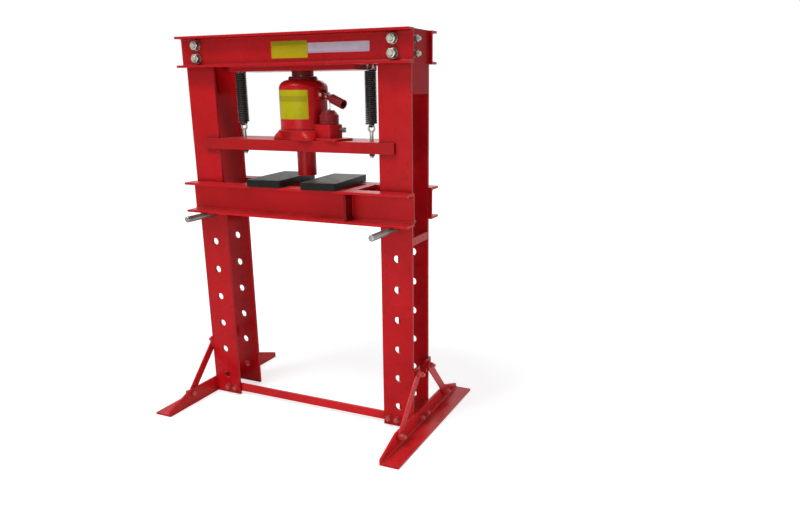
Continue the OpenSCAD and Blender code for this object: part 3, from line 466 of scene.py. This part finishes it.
def bead(start, end, radius, seed):
    """A ripple-marked bead from start to end: a round bar whose radius rises and falls with the size of a
    sine of the ripple pitch, by 0.12 of itself, and with two slow waves, and closes to a dome at both
    ends."""
    start, end = np.array(start, float), np.array(end, float)
    length = np.linalg.norm(end - start)
    along = (end - start) / length
    side = np.cross(along, (0.31, 0.57, 0.76))
    side /= np.linalg.norm(side)
    other = np.cross(along, side)
    rows = max(8, int(length / ripple_pitch * 4))
    s = np.linspace(0, 1, rows) * length
    phase = np.random.default_rng(seed).uniform(0, 2 * pi, 3)
    ripple = np.abs(np.sin(pi * s / ripple_pitch + phase[0]))
    swell = 0.06 * np.sin(2 * pi * s / 0.071 + phase[1]) + 0.04 * np.sin(2 * pi * s / 0.023 + phase[2])
    dome = np.sqrt(np.clip(1 - (1 - np.clip(np.minimum(s, length - s) / radius, 0, 1)) ** 2, 0.02, 1))
    r = radius * (0.93 + 0.12 * ripple + swell) * dome
    a = np.linspace(0, 2 * pi, bead_sides, endpoint=False)
    ring = np.cos(a)[:, None] * side + np.sin(a)[:, None] * other
    return skin(start + s[:, None, None] * along + r[:, None, None] * ring)


def ring_bead(centre, ring_radius, radius, seed):
    """A ripple-marked bead round a circle that lies level, its ends meeting: a ring whose thickness rises and
    falls with the size of a sine, once to every ripple, and with one slow wave."""
    ripples = int(2 * pi * ring_radius / ripple_pitch)
    turns = np.linspace(0, 2 * pi, ripples * 4, endpoint=False)
    phase = np.random.default_rng(seed).uniform(0, 2 * pi)
    r = radius * (0.93 + 0.12 * np.abs(np.sin(ripples * turns / 2)) + 0.05 * np.sin(3 * turns + phase))
    a = np.linspace(0, 2 * pi, bead_sides, endpoint=False)
    out = ring_radius + r[:, None] * np.cos(a)
    points = np.stack([centre[0] + out * np.cos(turns)[:, None], centre[1] + out * np.sin(turns)[:, None],
                       centre[2] + r[:, None] * np.sin(a)], -1)
    index = np.arange(points.shape[0] * bead_sides).reshape(-1, bead_sides)
    nxt = np.roll(index, -1, 0)
    quads = np.stack([index, nxt, np.roll(nxt, -1, 1), np.roll(index, -1, 1)], -1).reshape(-1, 4)
    return points.reshape(-1, 3), quads, np.zeros((0, 3), int)


def upright_beads(x, y, low, high, radius, first_seed):
    """Four upright beads from low to high, at the same place on both sides and both faces of the press."""
    corners = [(side * x, face * y) for side in (-1, 1) for face in (-1, 1)]
    return [bead((*corner, low), (*corner, high), radius, first_seed + k) for k, corner in enumerate(corners)]


thrust_x, thrust_y, thrust_z = 0.315, 0.100, 1.608
frame_welds = [
    bead((-thrust_x, face * thrust_y, thrust_z), (thrust_x, face * thrust_y, thrust_z), 0.0055, seed)
    for seed, face in enumerate((-1, 1))]
batten_x, batten_y, mid_low, mid_high, base_low, base_high = 0.553, 0.079, 0.868, 0.903, 0.008, 0.078
frame_welds += upright_beads(batten_x, batten_y, mid_low, mid_high, 0.0045, 10)
frame_welds += upright_beads(batten_x, batten_y, base_low, base_high, 0.0045, 20)
lug_x, lug_y, lug_low, lug_high = 0.5655, 0.0912, 0.243, 0.301
frame_welds += upright_beads(lug_x, lug_y, lug_low, lug_high, 0.0036, 30)
piece("welds_frame", pile(frame_welds), red_enamel, "frame", sharp=80)

deck_x, bar_y, deck_under, collar_under, collar_r, nose_r = 0.405, 0.093, 1.282, 1.266, 0.060, 0.0425
beam_welds = [bead((-deck_x, face * bar_y, deck_under), (deck_x, face * bar_y, deck_under), 0.0045, 40 + face)
              for face in (-1, 1)]
beam_welds += upright_beads(deck_x, bar_y, deck_under + 0.001, deck_under + 0.015, 0.0040, 50)
beam_welds += [ring_bead((0, 0, deck_under), collar_r, 0.0050, 60),
               ring_bead((0, 0, collar_under), nose_r, 0.0045, 61)]
piece("welds_ram_beam", pile(beam_welds), ram_enamel, "ram_beam", sharp=80)

web_y, flange_y = 0.101, 0.158
rib_x, rib_half, rib_low, rib_high, rib_corner = 0.280, 0.006, 0.967, 1.085, 0.012
bed_welds = []
for face in (-1, 1):
    for side in (-1, 1):
        x = -face * rib_x + side * rib_half
        bed_welds.append(bead((x, face * web_y, rib_low + rib_corner),
                              (x, face * web_y, rib_high - rib_corner), 0.0040, 70 + face + 3 * side))
        for z in (rib_low, rib_high):
            bed_welds.append(bead((x, face * (web_y + rib_corner), z), (x, face * flange_y, z),
                                  0.0038, 80 + face + 3 * side))
cross_x, cross_y, cross_low, cross_high = 0.256, 0.092, 0.988, 1.094
bed_welds += upright_beads(cross_x, cross_y, cross_low, cross_high, 0.0036, 90)
piece("welds_bed", pile(bed_welds), bed_enamel, "bed", sharp=80)


# ---- Zinc-plated fasteners ---------------------------------------------------
# Forged hexagon bolts with rolled threads, their nuts and stamped washers, all bright zinc-plated. Plating
# leaves a fine frosted grain, faintly yellow where it is thick and grey where a spanner has rubbed it.
def plated(name, painted=0.0):
    """Zinc plating: metallic, with a frosted grain, a slow tint, brighter rubbed edges and painted shade
    darkening it in corners. Fasteners lower than the height painted were sprayed over with the frame."""
    thin_zinc, thick_zinc = (0.3182, 0.3182, 0.2923), (0.4386, 0.4214, 0.3397)
    rubbed_zinc, zinc_corner_shade, film_tone = (0.68, 0.68, 0.67), (0.10, 0.08, 0.07), (0.480, 0.012, 0.016)
    metal_share = 0.85
    made, tree, shader = material(name)
    place = spot(tree)
    edge = placed(tree, edge_group, Width=0.0012, Breakup=160.0)
    # Darker in corners, where the occlusion says less light reaches: painted shade.
    corner_shade = span(tree, edge["Open"], 0.75, 0.35, 0.0, 0.55)
    tint = span(tree, noise(tree, place, 55.0, 3.0, 0.6), 0.35, 0.68)
    tone = blend_of(tree, tint, thin_zinc, thick_zinc)
    tone = blend_of(tree, times(tree, edge["Mask"], 0.5), tone, rubbed_zinc)
    tone = blend_of(tree, corner_shade, tone, zinc_corner_shade)
    shader.inputs["Metallic"].default_value = metal_share
    if painted:
        level = wire(tree, "ShaderNodeSeparateXYZ", {0: place}).outputs["Z"]
        low = math_of(tree, "LESS_THAN", level, painted)
        cover = span(tree, noise(tree, place, 170.0, 3.0, 0.6), 0.30, 0.55, 0.72, 1.0)
        kept = math_of(tree, "SUBTRACT", 1.0, times(tree, edge["Mask"], 0.9))
        film = times(tree, low, times(tree, cover, kept))
        tone = blend_of(tree, film, tone, film_tone)
        tree.links.new(span(tree, film, 0.0, 1.0, metal_share, 0.0), shader.inputs["Metallic"])
    grain = noise(tree, place, 900.0, 3.0, 0.6)
    rough = plus(tree, span(tree, grain, 0.3, 0.7, 0.28, 0.44), times(tree, corner_shade, 0.3))
    coat(tree, shader, tone, rough, grain, 0.00005)
    return made


zinc = plated("zinc plating")
sprayed_zinc = plated("zinc plating, sprayed over low down", painted=0.6)


def rings_of(r, z, a):
    """Points at radius r and height z, a ring for each height, at the angles a round the upright axis."""
    x = r * np.cos(a)
    return np.stack([x, r * np.sin(a), np.broadcast_to(z[:, None], x.shape)], -1)


def hexagon(flats, rows, corners=10):
    """Rings of a hexagon bar, flats across, whose corners are turned off: at each (height, round radius) row
    the outline is the hexagon or the round, whichever is smaller."""
    a = np.linspace(0, 2 * pi, 6 * corners, endpoint=False)
    flat = flats / 2 / np.cos((a + pi / 6) % (pi / 3) - pi / 6)
    z, r = np.array(rows).T
    return rings_of(np.minimum(flat, r[:, None]), z, a)


def threaded(radius, z0, z1, pitch, thread_from, around=28, rows_a_turn=7):
    """Rings of a shank from z0 to z1. Above thread_from the radius falls, by up to 0.55 of the pitch, with a
    triangle wave of height and angle together, which is a helix. The end has a chamfer."""
    rows = max(4, int((z1 - thread_from) / pitch * rows_a_turn))
    z = np.concatenate([[z0, thread_from - 0.0002], np.linspace(thread_from, z1, rows)])
    a = np.linspace(0, 2 * pi, around, endpoint=False)
    wave = np.abs(((z[:, None] / pitch - a / (2 * pi)) % 1) * 2 - 1)
    depth = np.where(z[:, None] >= thread_from, 0.55 * pitch * np.clip(1.15 * wave - 0.1, 0, 1), 0)
    chamfer = radius - pitch * 0.6 + np.maximum(z1 - z[:, None], 0) * 0.9
    return rings_of(np.minimum(radius - depth, chamfer), z, a)


def bolt(diameter, flats, head, length, pitch, shown):
    """A hexagon bolt along +Z: head below z = 0, shank to length, its last shown metres threaded. The head's
    corners are turned off to a 30 degree crown, and it stands on a thin round seat."""
    corner, crown, seat = flats / 2 / cos(pi / 6), flats * 0.47, flats * 0.475
    rows = [(-head, flats * 0.46), (-head, crown)]
    rows += [(-head + (corner - crown) * 0.58 * k / 4, crown + (corner - crown) * k / 4) for k in range(1, 5)]
    rows += [(-0.0009, corner), (-0.0005, corner), (-0.0004, seat), (0.0, seat)]
    shank = threaded(diameter / 2, -0.001, length, pitch, length - shown)
    return pile([skin(hexagon(flats, rows)), skin(shank)])


def set_out(shape, places):
    """Copies of a shape at each (origin, direction of its +Z)."""
    corners, quads, tris = shape
    copies = []
    for origin, axis in places:
        axis = np.array(axis, float)
        side = np.cross(axis, (0.36, 0.48, 0.80))
        side /= np.linalg.norm(side)
        turn = np.stack([side, np.cross(axis, side), axis])
        copies.append((np.array(origin) + corners @ turn, quads, tris))
    return pile(copies)


post_x, beam_head_y = 0.490, 0.075
beam_bolt_places = [((sx * post_x, sy * beam_head_y, z), (0, sy, 0))
                    for sx in (-1, 1) for sy in (-1, 1) for z in (1.702, 1.6465)]
piece("beam_bolts_threaded", set_out(bolt(0.024, 0.036, 0.015, 0.055, 0.003, 0.012), beam_bolt_places),
      zinc, "frame", ("beam_bolts",))
end_plate_x, foot_head_x, brace_head_x, tie_head_y, foot_z = 0.547, 0.553, 0.565, -0.067, 0.040
frame_bolt_places = [((sx * end_plate_x, -0.060, z), (sx, 0, 0)) for sx in (-1, 1) for z in (1.701, 1.645)]
frame_bolt_places += [((sx * foot_head_x, y, foot_z), (sx, 0, 0)) for sx in (-1, 1) for y in (-0.030, 0.030)]
frame_bolt_places += [((sx * brace_head_x, sy * y, z), (sx, 0, 0))
                      for sx in (-1, 1) for sy in (-1, 1) for y, z in ((0.062, 0.272), (0.268, 0.056))]
frame_bolt_places += [((x, tie_head_y, foot_z), (0, -1, 0)) for x in (-0.485, -0.440, 0.440, 0.485)]
piece("frame_bolts_threaded", set_out(bolt(0.016, 0.024, 0.010, 0.046, 0.002, 0.014), frame_bolt_places),
      sprayed_zinc, "frame", ("frame_bolts",))
for node in ("beam_nuts", "upper_eye_nuts", "jack_bolts"):
    eased(node, zinc, 0.0004, 2, 40)
eased("beam_washers", zinc, 0.0003, 2, 40)
eased("frame_nuts", sprayed_zinc, 0.0004, 2, 40)
eased("frame_washers", sprayed_zinc, 0.0003, 2, 40)

# ---- Return springs and their eyes -------------------------------------------
# Two close-wound tension springs of seven millimetre wire, hardened and blackened, with their end turns bent
# up into loops. The eyes they hang on are forged rods, zinc-plated; the nuts under the beam are black.
black_steel, tree, shader = material("blackened spring steel")
shader.inputs["Metallic"].default_value = 0.25
edge = placed(tree, edge_group, Width=0.0015, Breakup=240.0)
scale = noise(tree, spot(tree), 130.0, 4.0, 0.65)
oiled, dry, bright = (0.008, 0.007, 0.006), (0.030, 0.027, 0.023), (0.13, 0.115, 0.105)
tone = blend_of(tree, span(tree, scale, 0.4, 0.7), oiled, dry)
tone = blend_of(tree, times(tree, edge["Mask"], 0.3), tone, bright)
coat(tree, shader, tone, span(tree, scale, 0.3, 0.7, 0.30, 0.52), scale, 0.00010)

spring_x, coil_r, wire_r = 0.335, 0.0225, 0.0035
coil_low, coil_high, coil_turns, arch_rise, arch_sweep = 1.3665, 1.5855, 27, 0.011, radians(150)
around_coil, around_wire = 28, 12


def spring_path():
    """Centre line of a spring: up a loop in the fore-and-aft plane, round the helix and up a second loop. A
    loop is an ellipse, coil radius wide and arch high; the helix climbs evenly and starts a quarter turn
    on."""
    sweep = np.linspace(1, 0, 18, endpoint=False)[:, None] * arch_sweep
    low = np.hstack([0 * sweep, coil_r * np.cos(sweep), coil_low - arch_rise * np.sin(sweep)])
    turn = np.linspace(0, 2 * pi * coil_turns, coil_turns * around_coil + 1)[:, None]
    climb = coil_low + (coil_high - coil_low) * turn / turn[-1]
    helix = np.hstack([coil_r * np.cos(turn + pi / 2), coil_r * np.sin(turn + pi / 2), climb])
    sweep = np.linspace(0, 1, 19)[1:, None] * arch_sweep
    high = np.hstack([0 * sweep, coil_r * np.cos(sweep), coil_high + arch_rise * np.sin(sweep)])
    return np.vstack([low, helix, high])


def swept(path, axis_low, axis_high, radius, sides):
    """A round bar along a path that winds round the upright axis. A section's first direction points away
    from the axis, taken between two heights, less its part along the path; the second is square to both. The
    end sections are a fifth smaller."""
    tangent = np.gradient(path, axis=0)
    tangent /= np.linalg.norm(tangent, axis=1)[:, None]
    middle = np.zeros_like(path)
    middle[:, 2] = np.clip(path[:, 2], axis_low, axis_high)
    normal = path - middle
    normal -= tangent * np.einsum("ij,ij->i", normal, tangent)[:, None]
    normal /= np.linalg.norm(normal, axis=1)[:, None]
    other = np.cross(tangent, normal)
    a = np.linspace(0, 2 * pi, sides, endpoint=False)
    ring = np.cos(a)[None, :, None] * normal[:, None] + np.sin(a)[None, :, None] * other[:, None]
    r = np.full(len(path), radius)
    r[[0, -1]] *= 0.8
    return skin(path[:, None] + r[:, None, None] * ring)


def moved(shape, offset):
    """The same shape, shifted by an offset."""
    corners, quads, tris = shape
    return corners + np.array(offset), quads, tris


coil = swept(spring_path(), coil_low, coil_high, wire_r, around_wire)
for side, node in ((-1, "spring_left"), (1, "spring_right")):
    made = piece(node + "_wound", moved(coil, (side * spring_x, 0, 0)),
                 black_steel, None, (node,), sharp=60)
    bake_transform(made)
for node in ("upper_eyes", "lower_eyes"):
    eased(node, zinc, 0.0008, 2, 40)
eased("lower_eye_nuts", black_steel, 0.0005, 2, 40)

# ---- Loose plates on the bed -------------------------------------------------
# Two thick plates flame-cut from hot-rolled steel, blackened all over. The tops carry a lighter grey painted
# sheen and rub marks from the work that slides on them, the sides keep the torch's drag lines, and the
# arrises are bare in places.
def drawn_noise(tree, place, waves, detail, rough, turn=(0, 0, 0)):
    """A noise drawn out along one axis or two: waves is how many a metre it has along each."""
    laid = wire(tree, "ShaderNodeMapping", {"Vector": place, "Scale": waves, "Rotation": turn})
    return noise(tree, laid.outputs[0], 1.0, detail, rough)


black_plate, tree, shader = material("blackened thick plate")
shader.inputs["Specular IOR Level"].default_value = 0.10
place = spot(tree)
edge = placed(tree, edge_group, Width=0.0022, Breakup=90.0)
top = span(tree, facing_up(tree), 0.6, 0.95)
mill = noise(tree, place, 34.0, 5.0, 0.65)
rubs = span(tree, drawn_noise(tree, place, (14.0, 220.0, 60.0), 3.0, 0.6, (0, 0, 0.35)), 0.50, 0.68)
torch = drawn_noise(tree, place, (480.0, 480.0, 16.0), 2.0, 0.5)
drag = times(tree, torch, math_of(tree, "SUBTRACT", 1.0, top))
tone = blend_of(tree, span(tree, mill, 0.35, 0.7), (0.0048, 0.0048, 0.0040), (0.0110, 0.0108, 0.0090))
# The tops are lighter grey all over, a painted sheen; the rub marks and bare arrises laid after it are wear.
painted_top_sheen = times(tree, top, span(tree, mill, 0.3, 0.7, 0.55, 0.95))
for mask, sheen_or_bare_tone in ((painted_top_sheen, (0.054, 0.059, 0.056)),
                         (times(tree, times(tree, rubs, top), 0.35), (0.24, 0.24, 0.235)),
                         (times(tree, edge["Mask"], 0.55), (0.26, 0.25, 0.24))):
    tone = blend_of(tree, mask, tone, sheen_or_bare_tone)
tree.links.new(times(tree, top, 0.08), shader.inputs["Metallic"])
relief = plus(tree, plus(tree, mill, times(tree, rubs, -0.4)), times(tree, drag, 2.2))
coat(tree, shader, tone, span(tree, mill, 0.3, 0.7, 0.36, 0.55), relief, 0.0003)
for node in ("arbor_plate_left", "arbor_plate_right"):
    eased(node, black_plate, 0.0018, 3)

# ---- Bed pins ----------------------------------------------------------------
# Plain round bars with chamfered ends, zinc-plated and scored lengthwise where they are pushed through.
pin_zinc, tree, shader = material("scored zinc bar")
shader.inputs["Metallic"].default_value = 0.7
place = spot(tree)
edge = placed(tree, edge_group, Width=0.0015, Breakup=150.0)
score = drawn_noise(tree, place, (420.0, 9.0, 420.0), 3.0, 0.6)
patch = noise(tree, place, 22.0, 3.0, 0.6)
tone = blend_of(tree, span(tree, patch, 0.35, 0.68), (0.190, 0.192, 0.182), (0.300, 0.300, 0.280))
tone = blend_of(tree, span(tree, score, 0.56, 0.72, 0.0, 0.5), tone, (0.62, 0.62, 0.61))
# Darker in corners, where the occlusion says less light reaches: painted shade.
tone = blend_of(tree, span(tree, edge["Open"], 0.7, 0.3, 0.0, 0.6), tone, (0.08, 0.07, 0.06))
coat(tree, shader, tone, span(tree, patch, 0.3, 0.7, 0.28, 0.44), score, 0.00008)
for node in ("bed_pin_left", "bed_pin_right"):
    eased(node, pin_zinc, 0.0006, 2)


# ---- Bottle jack: tank, cap and saddle ---------------------------------------
# The oil tank is a drawn steel tube whose shoulder is spun in to the neck. A cast cap screws down on it, and
# the ground ram carries a saddle on its extension screw. The jack stands turned a little to the front.
jack_z = 1.298
jack_turn = radians(-15)


def on_jack(points):
    """Points given in the jack's own axes, pump along +X and deck at zero, turned and raised to their
    place."""
    turn = np.array([[cos(jack_turn), sin(jack_turn), 0], [-sin(jack_turn), cos(jack_turn), 0], [0, 0, 1]])
    return points @ turn + np.array([0, 0, jack_z])


def turned(profile, around=96):
    """A turned part: each (radius, height) of the profile carried round the upright axis."""
    r, z = np.array(profile).T
    return skin(rings_of(r[:, None], z, np.linspace(0, 2 * pi, around, endpoint=False)))


def arc(centre, radii, start, end, steps):
    """Points of an ellipse's arc about a centre, in degrees from the radius axis."""
    a = np.radians(np.linspace(start, end, steps))
    return list(zip(centre[0] + radii[0] * np.cos(a), centre[1] + radii[1] * np.sin(a)))


def standing(shape, x=0.0):
    """A shape of the jack's, moved x along the pump's line and set in its place."""
    corners, quads, tris = shape
    return on_jack(corners + np.array([x, 0, 0])), quads, tris


jack_enamel = enamel("red enamel on the jack", red, gloss=0.27, drift=0.10, dust=0.15)
tank_r, base_top, shoulder_z, shoulder_rise, neck_r = 0.108, 0.042, 0.217, 0.037, 0.0562
tank = [(tank_r - 0.0035, base_top), (tank_r, base_top + 0.0005), (tank_r, base_top + 0.004)]
tank += arc((tank_r, base_top + 0.0075), (0.0018, 0.0035), -90, 90, 7)
tank += [(tank_r, base_top + 0.012), (tank_r, shoulder_z - 0.004)]
tank += arc((neck_r + 0.006, shoulder_z), (tank_r - neck_r - 0.006, shoulder_rise), 2, 90, 22)
tank += [(neck_r + 0.003, shoulder_z + shoulder_rise), (neck_r, shoulder_z + shoulder_rise - 0.0015)]
piece("jack_tank_spun", standing(turned(tank, 128)), jack_enamel, "ram_beam", ("jack_tank",))
dark_casting = enamel("dark enamel on cast iron", (0.20, 0.011, 0.014), gloss=0.40, cast=2.2, depth=0.00012)
cap = [(neck_r, 0.236), (neck_r, 0.253)] + arc((0.0625, 0.2555), (0.0018, 0.0022), -90, 0, 4)
cap += [(0.0636, 0.262), (0.0610, 0.2664), (0.0580, 0.268), (0.047, 0.268), (0.0462, 0.2672)]
piece("jack_cap_turned", standing(turned(cap)), dark_casting, "ram_beam", ("jack_cap",))

ground_steel, tree, shader = material("ground steel")
shader.inputs["Metallic"].default_value = 1.0
place = spot(tree)
grind = drawn_noise(tree, place, (25.0, 25.0, 900.0), 3.0, 0.6)
oil = noise(tree, place, 30.0, 3.0, 0.6)
tone = blend_of(tree, span(tree, grind, 0.35, 0.65), (0.40, 0.405, 0.41), (0.62, 0.625, 0.63))
tone = blend_of(tree, span(tree, oil, 0.5, 0.75, 0.0, 0.5), tone, (0.16, 0.13, 0.10))
coat(tree, shader, tone, span(tree, oil, 0.3, 0.7, 0.18, 0.34), grind, 0.00003)
for node in ("jack_ram", "jack_cylinder", "check_balls", "pump_piston"):
    eased(node, ground_steel, 0.0006, 2, 40)
saddle = [(0.024, 0.262), (0.025, 0.2680), (0.0400, 0.2690), (0.0458, 0.2690), (0.0472, 0.2698)]
saddle += [(0.048, 0.2715), (0.048, 0.2785)] + arc((0.048, 0.2800), (-0.0012, 0.0012), 90, -90, 5)[::-1]
saddle += [(0.048, 0.2815), (0.048, 0.2916), (0.0468, 0.2929)]
piece("jack_saddle_turned", standing(turned(saddle)), dark_casting, "frame", ("jack_screw",))

rubber, tree, shader = material("oil seal rubber")
bloom = noise(tree, spot(tree), 120.0, 4.0, 0.6)
tone = blend_of(tree, span(tree, bloom, 0.4, 0.7), (0.012, 0.012, 0.012), (0.030, 0.029, 0.028))
coat(tree, shader, tone, span(tree, bloom, 0.3, 0.7, 0.55, 0.75), bloom, 0.00008)
for node in ("wiper_ring", "ram_seal"):
    eased(node, rubber, 0.0005, 2, 40)
eased("filler_plug", rubber, 0.0008, 3, 40)


# ---- Bottle jack: base casting -----------------------------------------------
# One iron casting: a foot that flares out from the round tank seat to a rounded oblong, a thin flange towards
# the pump, and the pump block with rounded corners. Sand-cast, fettled and painted with the rest.
cast_enamel = enamel("red enamel on cast iron", red, gloss=0.33, drift=0.14, cast=2.6, depth=0.00014,
                     dust=0.3)
foot_x, foot_y, foot_corner, seat_r, foot_thick = 0.128, 0.100, 0.040, 0.118, 0.008


def oblong(half_x, half_y, corner, count):
    """Outline of a rounded oblong as a reach for each of count equal angles: the largest step along the ray
    that stays inside the oblong, found from its straight sides or, past them, from the corner's circle."""
    a = np.linspace(0, 2 * pi, count, endpoint=False)
    c, s = np.abs(np.cos(a)), np.abs(np.sin(a))
    straight = np.minimum(half_x / np.maximum(c, 1e-9), half_y / np.maximum(s, 1e-9))
    px, py = half_x - corner, half_y - corner
    b = c * px + s * py
    root = b * b - (px * px + py * py - corner * corner)
    round_reach = b + np.sqrt(np.maximum(root, 0))
    past = (straight * c > px) & (straight * s > py)
    return a, np.where(past, round_reach, straight)


def flare(count=120, steps=14):
    """The foot's skin: its outline goes from the oblong at the bottom to the seat's circle at the top, by a
    share that is the height's to the power 1.25. Its lower and upper arrises are eased."""
    a, reach = oblong(foot_x, foot_y, foot_corner, count)
    t = np.linspace(0, 1, steps)
    z = foot_thick + (base_top - 0.003 - foot_thick) * t
    r = reach + (seat_r - reach) * t[:, None] ** 1.25
    z = np.concatenate([[0, 0.0012, 0.003], z, [base_top - 0.0008, base_top]])
    r = np.vstack([reach - 0.0012, reach - 0.0002, reach, r, [r[-1] - 0.0008, r[-1] - 0.003]])
    return skin(rings_of(r, z, a))


def tongue(x0, x1, half, corner, z1, edge):
    """A block from x0 to x1, half wide to each side and z1 high, with round outer corners and a rounded top
    edge. The outline runs round in plan; rings of it rise, and draw in over the edge by a quarter circle."""
    bend = np.radians(np.linspace(-90, 0, 10))
    right = np.stack([x1 - corner + corner * np.cos(bend), -half + corner + corner * np.sin(bend)], -1)
    left = right[::-1] * np.array([1, -1])
    outline = np.vstack([[[x0, -half]], right, left, [[x0, half]]])
    middle = np.array([(x0 + x1) / 2, 0])
    size = np.array([(x1 - x0) / 2, half])
    lean = np.radians(np.linspace(0, 90, 6))
    inset = np.concatenate([[0.0008, 0, 0], edge * (1 - np.cos(lean[1:]))])
    z = np.concatenate([[0, 0.0008, z1 - edge], z1 - edge + edge * np.sin(lean[1:])])
    rings = middle + (outline - middle) * (1 - inset[:, None, None] / size)
    return skin(np.dstack([rings, np.broadcast_to(z[:, None, None], (*rings.shape[:2], 1))]))


thin_flange = tongue(0.0, 0.245, 0.062, 0.020, 0.010, 0.002)
pump_block = tongue(0.090, 0.197, 0.042, 0.012, 0.068, 0.004)
piece("jack_base_cast", standing(pile([flare(), thin_flange, pump_block])),
      cast_enamel, "ram_beam", ("jack_base",), sharp=40)

# ---- Bottle jack: pump, lever and release valve ------------------------------
# The pump barrel is turned bar screwed into the block. A forked lever with a tube for the handle rocks on a
# pin in two lugs and works the piston; the release screw sits low in the end of the block.
pump_x = 0.155
barrel = [(0.0395, 0.0680), (0.0412, 0.0684), (0.0420, 0.0700), (0.0420, 0.0790)]
barrel += arc((0.0420, 0.0808), (-0.0014, 0.0018), 90, -90, 5)[::-1] + [(0.0420, 0.0826), (0.0420, 0.1050)]
barrel += arc((0.0385, 0.1050), (0.0035, 0.0030), 5, 60, 5)
barrel += [(0.0255, 0.1252), (0.0245, 0.1266), (0.0230, 0.1270), (0.0088, 0.1270), (0.0084, 0.1264)]
piece("pump_barrel_turned", standing(turned(barrel, 72), pump_x), dark_casting, "ram_beam",
      ("pump_barrel",))
eased("fulcrum_lugs", jack_enamel, 0.0012, 3)
eased("fulcrum_pin", zinc, 0.0006, 2, 40)
eased("lever_socket", dark_casting, 0.0012, 3, 40)
eased("piston_pin", zinc, 0.0005, 2, 40)
eased("release_valve", zinc, 0.0006, 2, 40)


# ---- Printed plates ----------------------------------------------------------
# Thin vinyl fields stuck on the top beam and round the tank, left plain but for their bands of colour. Each
# is a third of a millimetre thick, with rounded corners.
film_t, band_edge = 0.00030, 0.0004


def print_film(name, base, bands):
    """Printed vinyl: a base colour with bands of colour, faded and scuffed by noise. Each band is (axis,
    from, to, colour), and its edges are soft over band_edge to each side."""
    made, tree, shader = material(name)
    shader.inputs["Specular IOR Level"].default_value = 0.09
    place = spot(tree)
    parts = wire(tree, "ShaderNodeSeparateXYZ", {0: place}).outputs
    fade = noise(tree, place, 26.0, 3.0, 0.6)
    tone = blend_of(tree, span(tree, fade, 0.3, 0.7), base, tuple(0.86 * v for v in base))
    for axis, low, high, colour in bands:
        inside = times(tree, span(tree, parts[axis], low - band_edge, low + band_edge),
                       span(tree, parts[axis], high + band_edge, high - band_edge))
        tone = blend_of(tree, inside, tone, colour)
    scuff = span(tree, noise(tree, place, 190.0, 4.0, 0.7), 0.62, 0.78, 0.0, 0.35)
    tone = blend_of(tree, scuff, tone, tuple(v * 0.6 + 0.12 for v in base))
    coat(tree, shader, tone, span(tree, fade, 0.3, 0.7, 0.30, 0.45), fade, 0.0002)
    return made


def flat_film(x0, x1, z0, z1, y, corner=0.004):
    """A thin sheet on an upright face that looks to -Y. Its outline is an oblong with a quarter circle at
    each corner, drawn in a little on the outer side."""
    bend = np.radians(np.linspace(0, 90, 6))
    quarter = np.stack([np.cos(bend), np.sin(bend)], -1) * corner
    middle = np.array([(x0 + x1) / 2, (z0 + z1) / 2])
    reach = np.array([(x1 - x0) / 2 - corner, (z1 - z0) / 2 - corner])
    turns = [quarter, quarter[::-1] * [-1, 1], quarter * [-1, -1], quarter[::-1] * [1, -1]]
    signs = [[1, 1], [-1, 1], [-1, -1], [1, -1]]
    outline = np.vstack([middle + reach * sign + part for sign, part in zip(signs, turns)])
    depth = np.array([y + 0.0001, y - film_t * 0.7, y - film_t])
    draw_in = np.array([0.0, 0.0, 0.0003])
    rings = middle + (outline - middle) * (1 - draw_in[:, None, None] / (reach + corner))
    depth = np.broadcast_to(depth[:, None, None], (3, len(outline), 1))
    return skin(np.dstack([rings[..., :1], depth, rings[..., 1:]]))


olive, amber = (0.330, 0.295, 0.006), (0.52, 0.255, 0.018)
beam_face = -0.099
beam_yellow, lilac, deep_lilac = (0.53, 0.455, 0.008), (0.60, 0.52, 0.63), (0.49, 0.39, 0.54)
yellow_print = print_film("yellow print on the beam", beam_yellow,
                          [(2, 1.690, 1.7065, olive), (0, -0.0895, -0.0855, amber)])
piece("beam_plate_yellow", flat_film(-0.090, 0.092, 1.639, 1.707, beam_face), yellow_print,
      "frame")
pale_print = print_film("pale print on the beam", lilac, [(2, 1.657, 1.665, deep_lilac)])
piece("beam_plate_pale", flat_film(0.0935, 0.385, 1.657, 1.697, beam_face), pale_print,
      "frame")


def wrapped_film(radius, from_deg, to_deg, z0, z1, around=64, corner=0.004):
    """A thin sheet round the tank: a flat rounded sheet of the same height, its length laid round the
    circle."""
    length = radius * radians(to_deg - from_deg)
    t = np.linspace(0, 1, around)
    s = length * t
    cut = np.clip(corner - np.minimum(s, length - s), 0, corner)
    drop = corner - np.sqrt(np.maximum(corner ** 2 - cut ** 2, 0))
    a = radians(from_deg) + s / radius
    inner, outer = radius + 0.00002, radius + film_t
    low, high = z0 + drop, z1 - drop
    ring = np.stack([np.stack([r * np.cos(a), r * np.sin(a), z], -1)
                     for r, z in ((inner, low), (outer, low), (outer, high), (inner, high))], 1)
    return skin(ring)


tank_yellow = (0.475, 0.430, 0.004)
tank_print = print_film("yellow print on the tank", tank_yellow,
                        [(2, 1.461, 1.485, olive), (2, 1.386, 1.3915, amber), (2, 1.507, 1.511, amber),
                         (0, 0.0690, 0.08, amber)])
piece("tank_plate", wrapped_film(tank_r, -152, -48, 1.387, 1.510), tank_print, "ram_beam")
